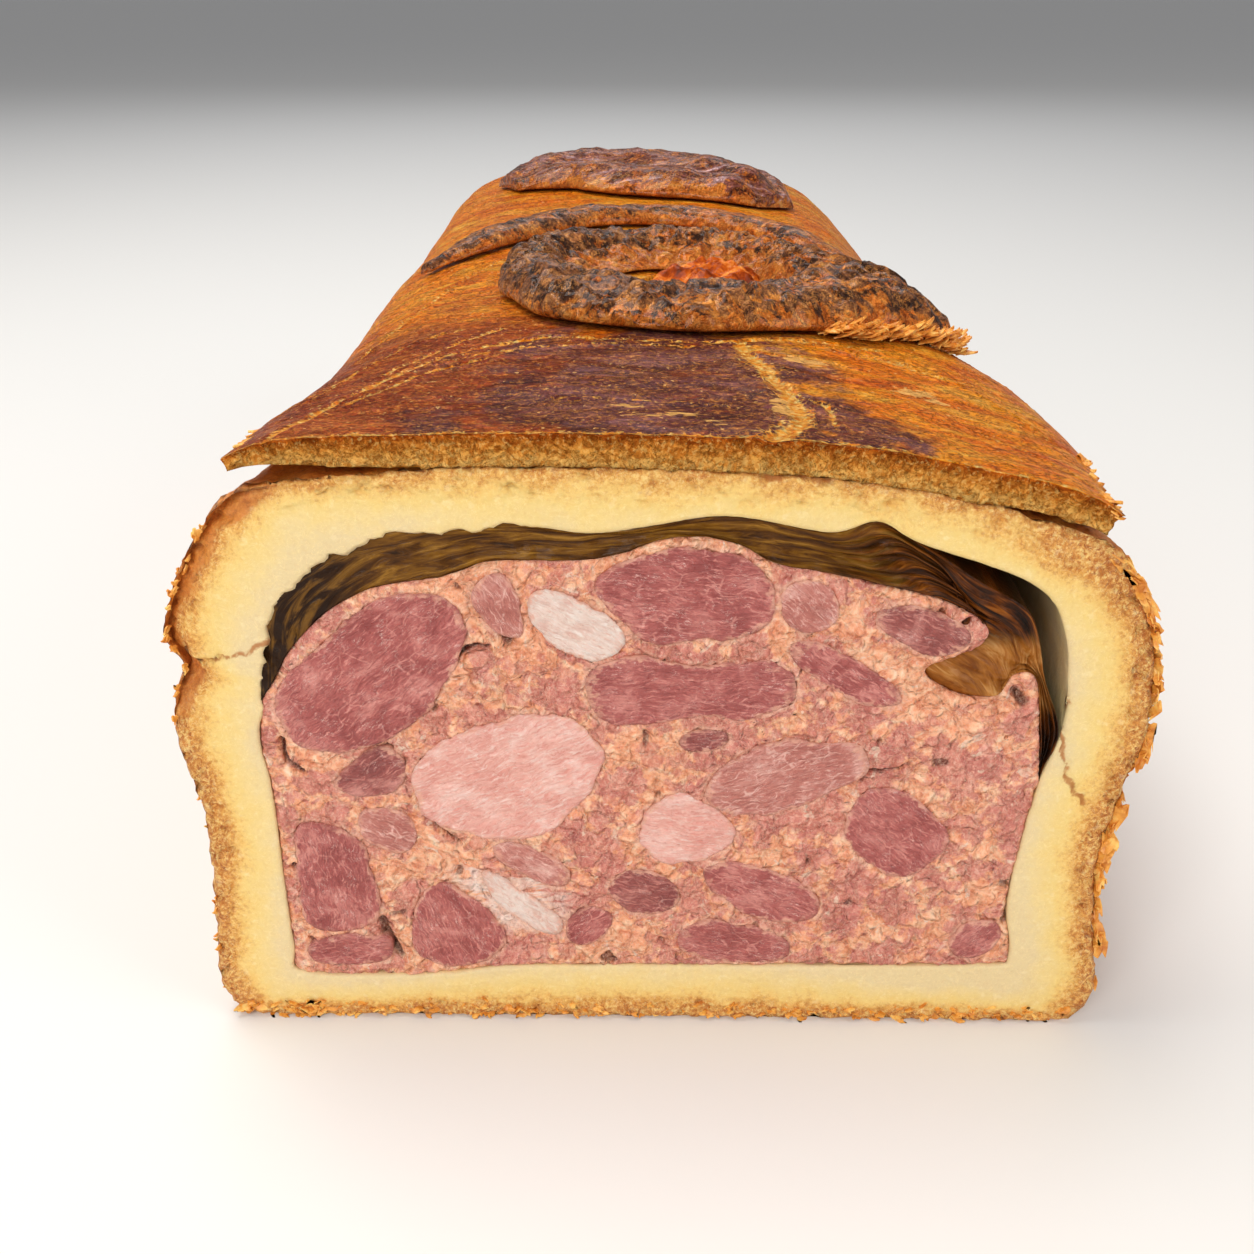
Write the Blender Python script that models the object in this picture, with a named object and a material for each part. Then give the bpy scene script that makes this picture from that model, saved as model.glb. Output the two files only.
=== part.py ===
"""Half of a pate en croute, cut straight across and standing on its base.

Metres, +Z up. The cut face looks toward -Y and the closed end toward +Y. The
crust is a pastry case with a separate lid on top; inside lie the forcemeat
with its pieces of meat and fat, and the aspic that was poured over it.
"""
import math
import random

import bmesh
import bpy
from mathutils import Euler, Vector, noise

# Driving dimensions
LENGTH = 0.200
FRONT_Y = -LENGTH / 2
BACK_Y = LENGTH / 2
END_WALL = 0.009
END_ROUNDING = 0.006
GAP = 0.0004
LID_GAP = 0.0006
LID_THICKNESS = 0.0033
EAVE_DEPTH = 0.045
EAVE_LIFT_LEFT = 0.0016
EAVE_LIFT_RIGHT = 0.0013
EAVE_SHARE_LEFT = 0.104
EAVE_SHARE_RIGHT = 0.078
EAVE_THINNING_LEFT = 0.62
EAVE_THINNING_RIGHT = 0.30
LID_SAMPLES = 22
WALL_SWELL = 0.0007
SHOULDER_LEFT = (-0.046, 0.062)
SHOULDER_RIGHT = (0.047, 0.058)
SHOULDER_SPREAD = 0.011
SHOULDER_SINK_LEFT = 0.0043
SHOULDER_SINK_RIGHT = 0.0050
SINK_DEPTH_LEFT = 0.042
EAVE_BULGE = 0.0012

# Sections of the crust and of the fillings, in millimetres behind the cut
CRUST_MARKS = (0, 3.5, 8, 13, 18, 24, 31, 39, 48, 58, 70, 84, 98, 112, 127, 142, 157, 171, 184, 192, 196.5,
               199, 200)
FILLING_MARKS = (0, 40, 80)
FLAKE_COUNT = 34

# Pastry case in section (x, z), up the left wall, with the step left by the
# rim of the mould, over the top and down the right wall
LEFT_WALL = [(-0.0476, 0.0006), (-0.0494, 0.0028), (-0.0499, 0.0065), (-0.0489, 0.0190), (-0.0485, 0.0275),
             (-0.0500, 0.0376), (-0.0494, 0.0430), (-0.0480, 0.0462), (-0.0494, 0.0492), (-0.0486, 0.0530)]
TOP_LINE = [(-0.0466, 0.0572), (-0.0440, 0.0614), (-0.0405, 0.0646), (-0.0350, 0.0659), (-0.0240, 0.0668),
            (-0.0100, 0.0670), (0.0050, 0.0667), (0.0180, 0.0658), (0.0310, 0.0634), (0.0385, 0.0608),
            (0.0436, 0.0577), (0.0470, 0.0536)]
RIGHT_WALL = [(0.0491, 0.0485), (0.0503, 0.0397), (0.0486, 0.0300), (0.0479, 0.0210), (0.0495, 0.0105),
              (0.0502, 0.0045), (0.0486, 0.0006)]
BASE = [(0.0460, 0.0), (0.0400, 0.0), (0.0200, 0.0), (-0.0200, 0.0), (-0.0400, 0.0), (-0.0450, 0.0)]

# Hollow of the case in section, same way round
HOLLOW = [(-0.0398, 0.0064), (-0.0409, 0.0110), (-0.0408, 0.0308), (-0.0413, 0.0370), (-0.0405, 0.0430),
          (-0.0387, 0.0519), (-0.0342, 0.0570), (-0.0283, 0.0603), (-0.0160, 0.0619), (-0.0058, 0.0609),
          (0.0060, 0.0627), (0.0160, 0.0611), (0.0207, 0.0622), (0.0250, 0.0600), (0.0363, 0.0557),
          (0.0402, 0.0502), (0.0416, 0.0400), (0.0400, 0.0320), (0.0388, 0.0180), (0.0399, 0.0100),
          (0.0375, 0.0083), (0.0185, 0.0080), (-0.0150, 0.0076), (-0.0242, 0.0064)]

# Top of the forcemeat, left wall to right wall, with the pocket at the right
MEAT_TOP = [(-0.0384, 0.0455), (-0.0367, 0.0483), (-0.0323, 0.0526), (-0.0275, 0.0550), (-0.0213, 0.0561),
            (-0.0150, 0.0578), (-0.0060, 0.0581), (0.0000, 0.0600), (0.0040, 0.0604), (0.0080, 0.0595),
            (0.0110, 0.0578), (0.0174, 0.0565), (0.0264, 0.0542), (0.0320, 0.0515), (0.0318, 0.0488),
            (0.0268, 0.0462), (0.0300, 0.0434), (0.0340, 0.0432), (0.0355, 0.0458), (0.0378, 0.0455),
            (0.0388, 0.0420)]
MEAT_LEFT_Z = 0.0420
MEAT_RIGHT_Z = 0.0330
ASPIC_SHRINK = 0.0024
ASPIC_SHRINK_FROM_X = 0.0230

# Pieces of meat and fat at the cut: kind, centre x, centre z, half length,
# half height, tilt in degrees, squareness, taper, bend, depth into the loaf
CHUNKS = {
    "ham_crown": ("lean", 0.0029, 0.0543, 0.0083, 0.0049, -5, 2.3, 0.12, 0.0, 0.030),
    "ham_upper_left": ("lean", -0.0290, 0.0453, 0.0113, 0.0057, 42, 2.6, -0.10, 0.0, 0.036),
    "fat_upper": ("fat", -0.0086, 0.0512, 0.0049, 0.0029, -28, 2.2, 0.1, 0.2, 0.018),
    "lean_by_fat": ("pale", -0.0154, 0.0529, 0.0037, 0.0021, -64, 2.0, -0.3, 0.2, 0.014),
    "loin_centre": ("loin", -0.0154, 0.0334, 0.0101, 0.0069, 26, 2.1, -0.18, 0.1, 0.040),
    "dark_left": ("dark", -0.0306, 0.0334, 0.0039, 0.0023, 30, 2.4, 0.25, 0.2, 0.016),
    "lean_left_small": ("pale", -0.0293, 0.0267, 0.0034, 0.0025, -26, 2.0, 0.1, 0.0, 0.014),
    "ham_left_tall": ("lean", -0.0354, 0.0200, 0.0070, 0.0042, -86, 3.2, 0.12, 0.0, 0.032),
    "ham_corner_left": ("lean", -0.0344, 0.0098, 0.0048, 0.0018, 5, 3.2, 0.0, 0.0, 0.016),
    "ham_low_left": ("lean", -0.0226, 0.0135, 0.0055, 0.0046, -72, 2.6, 0.35, 0.1, 0.026),
    "fat_low": ("fat", -0.0149, 0.0168, 0.0059, 0.0016, -43, 2.3, 0.15, 0.2, 0.020),
    "lean_over_fat": ("pale", -0.0136, 0.0222, 0.0046, 0.0017, -31, 2.2, 0.2, 0.0, 0.014),
    "lean_low_small": ("lean", -0.0074, 0.0139, 0.0028, 0.0020, 44, 2.2, 0.0, 0.0, 0.012),
    "ham_middle": ("lean", 0.0034, 0.0437, 0.0104, 0.0034, 3, 2.8, -0.2, 0.1, 0.030),
    "lean_middle_small": ("dark", 0.0048, 0.0380, 0.0025, 0.0013, 9, 2.2, 0.0, 0.0, 0.012),
    "dark_low": ("dark", -0.0011, 0.0185, 0.0042, 0.0028, -12, 2.0, 0.0, 0.1, 0.018),
    "lean_low_right": ("lean", 0.0114, 0.0186, 0.0070, 0.0030, -22, 2.2, 0.05, 0.15, 0.024),
    "lean_bottom": ("lean", 0.0090, 0.0112, 0.0064, 0.0025, -8, 2.6, -0.25, 0.0, 0.022),
    "loin_fibrous": ("loin", 0.0028, 0.0264, 0.0048, 0.0041, -4, 2.2, 0.0, 0.0, 0.024),
    "ham_fibrous": ("pale", 0.0132, 0.0334, 0.0084, 0.0037, 18, 2.0, 0.0, -0.1, 0.028),
    "ham_right": ("lean", 0.0252, 0.0266, 0.0058, 0.0044, -41, 2.4, 0.0, 0.15, 0.026),
    "loin_upper_right": ("pale", 0.0148, 0.0536, 0.0031, 0.0025, -42, 2.0, 0.0, 0.0, 0.014),
    "ham_upper_right": ("dark", 0.0258, 0.0508, 0.0047, 0.0021, -20, 2.1, 0.0, 0.1, 0.018),
    "ham_slant_right": ("lean", 0.0189, 0.0457, 0.0064, 0.0018, -29, 2.0, 0.0, 0.1, 0.018),
    "ham_corner_right": ("lean", 0.0358, 0.0122, 0.0028, 0.0020, 40, 2.0, 0.0, 0.0, 0.014),
}
CHUNK_STEP = 0.0025
CHUNK_RISE = 0.0004

# Base colour and roughness of each food
FINISHES = {
    "case": ((0.80, 0.55, 0.24), 0.75),
    "lid": ((0.50, 0.17, 0.04), 0.30),
    "burnt": ((0.13, 0.06, 0.03), 0.45),
    "forcemeat": ((0.66, 0.30, 0.22), 0.40),
    "aspic": ((0.14, 0.09, 0.03), 0.12),
    "lean": ((0.42, 0.14, 0.15), 0.35),
    "dark": ((0.30, 0.08, 0.09), 0.35),
    "pale": ((0.60, 0.28, 0.27), 0.35),
    "loin": ((0.68, 0.36, 0.34), 0.32),
    "fat": ((0.80, 0.66, 0.60), 0.30),
}

# Dough ornaments on the lid: plan places (x, distance behind the cut face)
COLLAR_CENTRE = (0.0038, 0.0654)
COLLAR_OUTER = {0: 0.0225, 30: 0.0190, 90: 0.0200, 135: 0.0222, 165: 0.0243, 208: 0.0252, 235: 0.0282,
                270: 0.0288, 300: 0.0288, 318: 0.0302, 343: 0.0360}
COLLAR_INNER = {0: 0.0125, 90: 0.0135, 180: 0.0165, 270: 0.0155, 328: 0.0165}
COLLAR_HEIGHT = 0.0042
COLLAR_STEPS = 48
COLLAR_TIP = 348
COLLAR_TIP_LIFT = 0.42
VENT_HALF_X = 0.0058
VENT_HALF_Y = 0.0068
VENT_FLOOR_Z = 0.0642
VENT_TOP_Z = 0.0760
CORD_ROUTE = [(-0.0345, 0.0845), (-0.0310, 0.0885), (-0.0240, 0.0970), (-0.0120, 0.1100), (0.0010, 0.1150),
              (0.0130, 0.1090), (0.0230, 0.0990), (0.0310, 0.0910), (0.0350, 0.0870)]
CORD_WIDTH = 0.0075
CORD_HEIGHT = 0.0026
LEAF_ROUTE = [(-0.0290, 0.1580), (-0.0160, 0.1630), (0.0000, 0.1620), (0.0125, 0.1545), (0.0235, 0.1440)]
LEAF_WIDTH = 0.0380
LEAF_HEIGHT = 0.0062


def curve_through(points, spacing, closed=False):
    """Evenly spaced points along a smooth curve through the given ones."""
    knots = [Vector(p) for p in points]
    last = len(knots) - 1
    spans = last + 1 if closed else last
    dense = []
    for i in range(spans):
        picks = [i - 1, i, i + 1, i + 2]
        if closed:
            a, b, c, d = (knots[k % (last + 1)] for k in picks)
        else:
            a, b, c, d = (knots[min(max(k, 0), last)] for k in picks)
        for j in range(16):
            t = j / 16
            dense.append(0.5 * (2 * b + (c - a) * t + (2 * a - 5 * b + 4 * c - d) * t ** 2
                                + (3 * b - a - 3 * c + d) * t ** 3))
    dense.append(dense[0].copy() if closed else knots[-1])
    reach = [0.0]
    for p, q in zip(dense, dense[1:]):
        reach.append(reach[-1] + (q - p).length)
    count = max(4, round(reach[-1] / spacing))
    even = []
    k = 0
    for i in range(count if closed else count + 1):
        goal = reach[-1] * i / count
        while k < len(reach) - 2 and reach[k + 1] < goal:
            k += 1
        share = (goal - reach[k]) / max(reach[k + 1] - reach[k], 1e-9)
        even.append(dense[k].lerp(dense[k + 1], min(max(share, 0.0), 1.0)))
    return even


def outward(line, closed):
    """Unit normals on the left of the way along the line."""
    normals = []
    last = len(line) - 1
    for i in range(len(line)):
        before = line[i - 1] if closed or i > 0 else line[i]
        after = line[(i + 1) % (last + 1)] if closed or i < last else line[i]
        way = (after - before).normalized()
        normals.append(Vector((-way.y, way.x)))
    return normals


def shifted(line, distance, closed=True):
    """The line moved along its normals, outward when the distance is positive."""
    return [p + n * distance for p, n in zip(line, outward(line, closed))]


def ease(value):
    """0 to 1 with soft ends."""
    t = min(max(value, 0.0), 1.0)
    return t * t * (3 - 2 * t)


def round_table(table, angle):
    """Value at an angle in degrees from a ring of named angles, eased between them."""
    keys = sorted(table)
    angle %= 360
    for i, low in enumerate(keys):
        high = keys[(i + 1) % len(keys)]
        span = (high - low) % 360
        if (angle - low) % 360 <= span:
            return table[low] + (table[high] - table[low]) * ease((angle - low) % 360 / span)
    return table[keys[0]]


def add_material(name, colour, roughness):
    """A food finish as a plain Principled material."""
    material = bpy.data.materials.get(name) or bpy.data.materials.new(name)
    material.use_nodes = True
    shader = material.node_tree.nodes["Principled BSDF"]
    shader.inputs["Base Color"].default_value = (*colour, 1.0)
    shader.inputs["Roughness"].default_value = roughness
    shader.inputs["Metallic"].default_value = 0.0
    return material


def add_node(name, bm, finish):
    """A named solid from a finished bmesh, shaded smooth with its sharp edges kept."""
    bmesh.ops.recalc_face_normals(bm, faces=bm.faces)
    mesh = bpy.data.meshes.new(name)
    bm.to_mesh(mesh)
    bm.free()
    node = bpy.data.objects.new(name, mesh)
    bpy.context.scene.collection.objects.link(node)
    mesh.materials.append(add_material(finish, *FINISHES[finish]))
    mesh.shade_smooth()
    mesh.set_sharp_from_angle(angle=math.radians(50))
    return node


def loft(rings):
    """Closed body through rings of 3D points that all have the same count."""
    bm = bmesh.new()
    end = bm.faces.new([bm.verts.new(p) for p in rings[0]])
    for ring in rings[1:]:
        grown = bmesh.ops.extrude_face_region(bm, geom=[end])["geom"]
        passed = end
        end = next(item for item in grown if isinstance(item, bmesh.types.BMFace))
        for vert, place in zip(end.verts, ring):
            vert.co = place
        if ring is not rings[1]:
            bm.faces.remove(passed)
    return bm


def carve(node, operation, cutters):
    """One applied Boolean of the node with every cutter, which are then removed."""
    group = bpy.data.collections.new("cutters")
    bpy.context.scene.collection.children.link(group)
    for cutter in cutters:
        for owner in list(cutter.users_collection):
            owner.objects.unlink(cutter)
        group.objects.link(cutter)
        cutter.hide_render = True
        cutter.display_type = "WIRE"
    modifier = node.modifiers.new("carve", "BOOLEAN")
    modifier.operation = operation
    modifier.operand_type = "COLLECTION"
    modifier.collection = group
    modifier.solver = "EXACT"
    bpy.context.view_layer.update()
    evaluated = node.evaluated_get(bpy.context.evaluated_depsgraph_get())
    result = bpy.data.meshes.new_from_object(evaluated)
    node.modifiers.clear()
    node.data = result
    for cutter in cutters:
        bpy.data.objects.remove(cutter)
    bpy.data.collections.remove(group)


def swell(x, y, z):
    """Uneven swelling of the baked crust, none at the base or at the cut."""
    spot = Vector((x, y, z))
    amount = noise.noise(spot * 24) + 0.4 * noise.noise(spot * 70)
    return WALL_SWELL * amount * ease(z / 0.006) * ease((y - FRONT_Y) / 0.008)


def slumped(x, z, y):
    """The section point (x, z) at y after the shoulders have sunk behind the cut."""
    behind = y - FRONT_Y
    left = SHOULDER_SINK_LEFT * ease(behind / SINK_DEPTH_LEFT)
    right = SHOULDER_SINK_RIGHT * ease((behind - 0.038) / 0.045) - EAVE_BULGE * math.exp(
        -((behind - 0.024) / 0.016) ** 2)
    for corner, sink, side in ((SHOULDER_LEFT, left, 1), (SHOULDER_RIGHT, right, -1)):
        spread = ((x - corner[0]) ** 2 + (z - corner[1]) ** 2) / SHOULDER_SPREAD ** 2
        move = sink * math.exp(-spread / 2) * math.sqrt(0.5)
        x += side * move
        z -= move
    return x, z


def end_inset(y):
    """How far the section draws in where the closed end rounds off."""
    t = min(max((y - (BACK_Y - END_ROUNDING)) / END_ROUNDING, 0.0), 1.0)
    return END_ROUNDING * (1 - math.sqrt(1 - t * t)) * 0.8


def on_crust(p, normal, lift, y):
    """A point over the section point p, moved out by lift and by the crust's swelling."""
    out = lift + swell(p.x, y, p.y) - end_inset(y)
    if p.y < 0.0003:
        return Vector((p.x * (1 - end_inset(y) / 0.05), y, 0.0))
    x, z = slumped(p.x + normal.x * out, p.y + normal.y * out, y)
    return Vector((x, y, max(z, 0.0)))


def stations(marks):
    """Places along the loaf from distances behind the cut face, in millimetres."""
    return [FRONT_Y + mark / 1000 for mark in marks]


def lid_line(y):
    """Underside and top of the lid across the loaf at y, and the share across it.

    At the cut the eaves stand free of the shoulders; further back they wrap down.
    """
    behind = y - FRONT_Y
    wrap = ease(behind / EAVE_DEPTH)
    first = EAVE_SHARE_LEFT * (1 - wrap)
    last = 1 - EAVE_SHARE_RIGHT * (1 - wrap)
    lower, upper = [], []
    for i in range(LID_SAMPLES + 1):
        u = i / LID_SAMPLES
        place = (first + (last - first) * u) * (len(LID_BED) - 1)
        k = min(int(place), len(LID_BED) - 2)
        p = LID_BED[k].lerp(LID_BED[k + 1], place - k)
        n = LID_NORMALS[k].lerp(LID_NORMALS[k + 1], place - k).normalized()
        free = EAVE_LIFT_LEFT * math.exp(-(u / 0.11) ** 2) + EAVE_LIFT_RIGHT * ease((u - 0.84) / 0.16)
        free *= 1 - wrap
        edge = abs(2 * u - 1) ** 7
        thick = LID_THICKNESS * (1 - (EAVE_THINNING_LEFT if u < 0.5 else EAVE_THINNING_RIGHT) * edge)
        wrinkle = 0.00022 * noise.noise(Vector((p.x * 60, y * 160, 3.0)))
        saw = 0.0
        if i == LID_SAMPLES:
            saw = 0.0009 * math.sin(behind * 900) * ease(1.6 - behind / 0.05)
        low = on_crust(p, n, LID_GAP + free, y)
        high = on_crust(p, n, LID_GAP + free + thick + wrinkle * (1 - edge), y)
        along = Vector((n.y, 0.0, -n.x))
        lower.append(low + along * saw)
        upper.append(high + along * saw * 0.7)
    return lower, upper


def lid_height(x, y):
    """Height of the lid's top over the plan place (x, y)."""
    upper = lid_line(y)[1]
    for a, b in zip(upper, upper[1:]):
        if a.x <= x <= b.x:
            return a.z + (b.z - a.z) * (x - a.x) / (b.x - a.x)
    return upper[0].z if x < upper[0].x else upper[-1].z


def make_flakes():
    """Crisp flakes that stand off the foot of the cut and off the right wall."""
    rng = random.Random(11)
    flakes = []
    for i in range(FLAKE_COUNT):
        share = (i // 2 + rng.uniform(0.2, 0.8)) / (FLAKE_COUNT / 2)
        size = rng.uniform(0.0012, 0.0024)
        if i % 2 == 0:
            place = Vector((-0.044 + 0.089 * share, FRONT_Y + 0.0005, 0.0036))
        else:
            z = 0.012 + 0.038 * share
            x = min(CASE_RING, key=lambda p: abs(p.y - z) + (1 if p.x < 0.04 else 0)).x
            place = Vector((x - 0.0004, FRONT_Y + rng.uniform(0.004, 0.030), z))
        bm = bmesh.new()
        bmesh.ops.create_cone(bm, cap_ends=True, segments=4, radius1=size, radius2=size * 0.3,
                              depth=size * 1.6)
        bmesh.ops.scale(bm, vec=(rng.uniform(0.35, 0.6), 1.0, rng.uniform(0.7, 1.1)), verts=bm.verts)
        turn = Euler((rng.uniform(0.9, 1.9), rng.uniform(-0.4, 0.4), rng.uniform(-0.5, 0.5)))
        bmesh.ops.rotate(bm, matrix=turn.to_matrix(), verts=bm.verts)
        bmesh.ops.translate(bm, vec=place, verts=bm.verts)
        flakes.append(add_node("flake_%02d" % i, bm, "case"))
    return flakes


def vent_cutter(name, floor_z):
    """Slightly tapered oval shaft of the steam vent, from floor_z up through the lid."""
    bm = bmesh.new()
    bmesh.ops.create_cone(bm, cap_ends=True, segments=20, radius1=0.88, radius2=1.0, depth=1.0)
    bmesh.ops.scale(bm, vec=(VENT_HALF_X, VENT_HALF_Y, VENT_TOP_Z - floor_z), verts=bm.verts)
    middle = Vector((COLLAR_CENTRE[0], FRONT_Y + COLLAR_CENTRE[1], (VENT_TOP_Z + floor_z) / 2))
    bmesh.ops.translate(bm, vec=middle, verts=bm.verts)
    return add_node(name, bm, "lid")


def make_case():
    """Base, walls, folded top and closed end of the crust, with the hollow open at the cut."""
    normals = outward(CASE_RING, True)
    rings = []
    for y in stations(CRUST_MARKS):
        rings.append([on_crust(p, n, 0.0, y) for p, n in zip(CASE_RING, normals)])
    node = add_node("pastry_case", loft(rings), "case")
    carve(node, "UNION", make_flakes())
    hollow = sunk_body("hollow", HOLLOW_RING, BACK_Y - END_WALL, 0.006, "case")
    carve(node, "DIFFERENCE", [hollow, vent_cutter("vent_in_case", VENT_FLOOR_Z)])


def make_lid():
    """The egg-washed sheet of dough over the case, pierced by the vent."""
    rings = []
    for y in stations(CRUST_MARKS[:-1]):
        lower, upper = lid_line(y)
        rings.append(lower + upper[::-1])
    node = add_node("pastry_lid", loft(rings), "lid")
    carve(node, "DIFFERENCE", [vent_cutter("vent_in_lid", 0.0600)])


def sunk_body(name, ring, back, ahead, finish):
    """A body along the loaf with one section that sinks with the shoulders."""
    places = [FRONT_Y - ahead] + stations(FILLING_MARKS)[1:] + [back]
    rings = []
    for y in places:
        rings.append([Vector((x, y, z)) for x, z in (slumped(p.x, p.y, max(y, FRONT_Y)) for p in ring)])
    return add_node(name, loft(rings), finish)


def make_fillings():
    """Forcemeat and the aspic over it; the aspic has shrunk from the crust at the right."""
    inner = shifted(HOLLOW_RING, -GAP)
    normals = outward(inner, True)
    left = min((i for i, p in enumerate(inner) if p.x < 0), key=lambda i: abs(inner[i].y - MEAT_LEFT_Z))
    right = min((i for i, p in enumerate(inner) if p.x > 0.03), key=lambda i: abs(inner[i].y - MEAT_RIGHT_Z))
    ceiling = []
    for i in range(left + 1, right):
        drawn = ASPIC_SHRINK * ease((inner[i].x - ASPIC_SHRINK_FROM_X) / 0.012)
        drawn *= ease((inner[i].y - MEAT_RIGHT_Z - 0.004) / 0.010)
        ceiling.append(inner[i] - normals[i] * drawn)
    below = inner[right:] + inner[:left + 1]
    top = curve_through([inner[left]] + MEAT_TOP + [inner[right]], 0.0024)
    back = BACK_Y - END_WALL - GAP
    forcemeat = sunk_body("forcemeat", below + top[1:-1], back, 0.0, "forcemeat")
    lower_face = shifted(top, GAP, closed=False)[2:-2]
    sunk_body("aspic", ceiling + lower_face[::-1], back, 0.0, "aspic")
    return forcemeat


def chunk_outline(x, z, half_long, half_short, tilt, squareness, taper, bend):
    """Rounded outline of one piece of meat at the cut, clockwise."""
    turn = math.radians(tilt)
    count = max(12, round(2 * math.pi * math.sqrt((half_long ** 2 + half_short ** 2) / 2) / CHUNK_STEP))
    ring = []
    for i in range(count):
        angle = -2 * math.pi * i / count
        c, s = math.cos(angle), math.sin(angle)
        r = (abs(c / half_long) ** squareness + abs(s / half_short) ** squareness) ** (-1 / squareness)
        r *= 1 + 0.05 * noise.noise(Vector((c * 1.7 + x * 900, s * 1.7 + z * 900, 0.5)))
        along, across = r * c, r * s
        across = across * (1 + taper * along / half_long) + bend * ((along / half_long) ** 2 - 0.5) * half_short
        ring.append(Vector((x + along * math.cos(turn) - across * math.sin(turn),
                            z + along * math.sin(turn) + across * math.cos(turn))))
    return ring


def chunk_body(ring, grow, depth, ahead):
    """Body that runs back from the cut with the outline, rounding off at its inner end."""
    middle = sum(ring, Vector((0, 0))) / len(ring)
    wide = shifted(ring, grow)
    profile = [(-ahead, 1.0), (0.62 * depth, 0.97), (0.9 * depth, 0.72), (depth + grow, 0.36)]
    rings = []
    for back, share in profile:
        rings.append([Vector((middle.x + (p.x - middle.x) * share, FRONT_Y + back,
                              middle.y + (p.y - middle.y) * share)) for p in wide])
    return loft(rings)


def make_chunks(forcemeat):
    """Each piece of meat and fat in its own pocket of the forcemeat."""
    pockets = []
    for name, (kind, x, z, *shape, depth) in CHUNKS.items():
        ring = chunk_outline(x, z, *shape)
        bm = chunk_body(ring, 0.0, depth, 0.0)
        bm.faces.ensure_lookup_table()
        cut_face = min(bm.faces, key=lambda face: face.calc_center_median().y)
        crown = bmesh.ops.poke(bm, faces=[cut_face])["verts"][0]
        crown.co.y -= CHUNK_RISE
        add_node(name, bm, kind)
        pockets.append(add_node("pocket_" + name, chunk_body(ring, GAP + 0.0001, depth, 0.004), "forcemeat"))
    carve(forcemeat, "DIFFERENCE", pockets)


def make_collar():
    """Thick roll of dough round the vent, drawn out to a blunt tip at the front right."""
    rings = []
    for i in range(COLLAR_STEPS):
        degrees = 360 * i / COLLAR_STEPS
        c, s = math.cos(math.radians(degrees)), math.sin(math.radians(degrees))
        outer = round_table(COLLAR_OUTER, degrees)
        inner = round_table(COLLAR_INNER, degrees)
        left = ease(-c * 1.4)
        notch = 1 + 0.06 * left * math.sin(math.radians(degrees) * 17)
        toward_tip = (degrees - COLLAR_TIP + 180) % 360 - 180
        height = COLLAR_HEIGHT * (1 + 0.12 * noise.noise(Vector((c * 2, s * 2, 7.0)))) * notch
        height *= 1 + COLLAR_TIP_LIFT * math.exp(-(toward_tip / 30) ** 2)
        section = [(0.0, 0.0), (0.5, 0.0), (1.0, 0.0), (1.02, 0.45), (0.80, 0.90), (0.45, 1.0), (0.15, 0.85),
                   (-0.02, 0.40)]
        ring = []
        for across, up in section:
            reach = inner + (outer * (0.97 + 0.03 * notch) - inner) * across
            x = COLLAR_CENTRE[0] + c * reach
            y = FRONT_Y + COLLAR_CENTRE[1] + s * reach
            ring.append(Vector((x, y, lid_height(x, y) + LID_GAP + up * height)))
        rings.append(ring)
    bm = bmesh.new()
    loops = [[bm.verts.new(p) for p in ring] for ring in rings]
    edges = []
    for loop in loops:
        edges.append([bm.edges.new((a, b)) for a, b in zip(loop, loop[1:] + loop[:1])])
    for a, b in zip(edges, edges[1:] + edges[:1]):
        bmesh.ops.bridge_loops(bm, edges=a + b)
    add_node("vent_collar", bm, "burnt")


def band_on_lid(name, route, width_at, height_at, section, spacing, finish):
    """Strip of dough laid along a plan route on the lid, following its surface."""
    line = curve_through(route, spacing)
    normals = outward(line, False)
    rings = []
    for i, (p, n) in enumerate(zip(line, normals)):
        share = i / (len(line) - 1)
        ring = []
        for across, up in section:
            x = p.x + n.x * width_at(share) * across
            y = FRONT_Y + p.y + n.y * width_at(share) * across
            wave = 1 + 0.15 * noise.noise(Vector((x * 150, y * 150, 2.0)))
            ring.append(Vector((x, y, lid_height(x, y) + LID_GAP + up * height_at(share) * wave)))
        rings.append(ring)
    return add_node(name, loft(rings), finish)


def make_cord():
    """Flat cord of dough that arches over the lid behind the collar."""
    section = [(-0.5, 0.0), (-0.46, 0.6), (-0.2, 1.0), (0.2, 1.0), (0.46, 0.6), (0.5, 0.0), (0.0, 0.0)]
    band_on_lid("pastry_cord", CORD_ROUTE,
                lambda t: CORD_WIDTH * (0.35 + 0.65 * ease(8 * t) * ease(8 * (1 - t))),
                lambda t: CORD_HEIGHT * (0.5 + 0.5 * ease(6 * t) * ease(6 * (1 - t))),
                section, 0.0062, "burnt")


def make_leaf():
    """Broad leaf of dough near the closed end, veined, with a blunt stub at the right."""
    section = [(-0.5, 0.0), (-0.49, 0.35), (-0.36, 0.78), (-0.2, 0.72), (-0.06, 1.0), (0.08, 0.96), (0.2, 0.70),
               (0.36, 0.74), (0.49, 0.35), (0.5, 0.0), (0.2, 0.0), (-0.2, 0.0)]
    band_on_lid("leaf_back", LEAF_ROUTE,
                lambda t: LEAF_WIDTH * (0.16 + 0.84 * math.sin(math.pi * min(0.04 + 0.93 * t, 1.0)) ** 0.8),
                lambda t: LEAF_HEIGHT * (0.45 + 0.55 * ease(5 * t) * ease(9 * (1 - t))),
                section, 0.0045, "burnt")


def centre_on_base():
    """Move everything so that the middle of its box's underside is the origin."""
    nodes = list(bpy.context.scene.objects)
    corners = [v.co for node in nodes for v in node.data.vertices]
    low = Vector(min(c[k] for c in corners) for k in range(3))
    high = Vector(max(c[k] for c in corners) for k in range(3))
    for node in nodes:
        node.location = (-(low.x + high.x) / 2, -(low.y + high.y) / 2, -low.z)


for old in list(bpy.data.objects):
    bpy.data.objects.remove(old)

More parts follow.
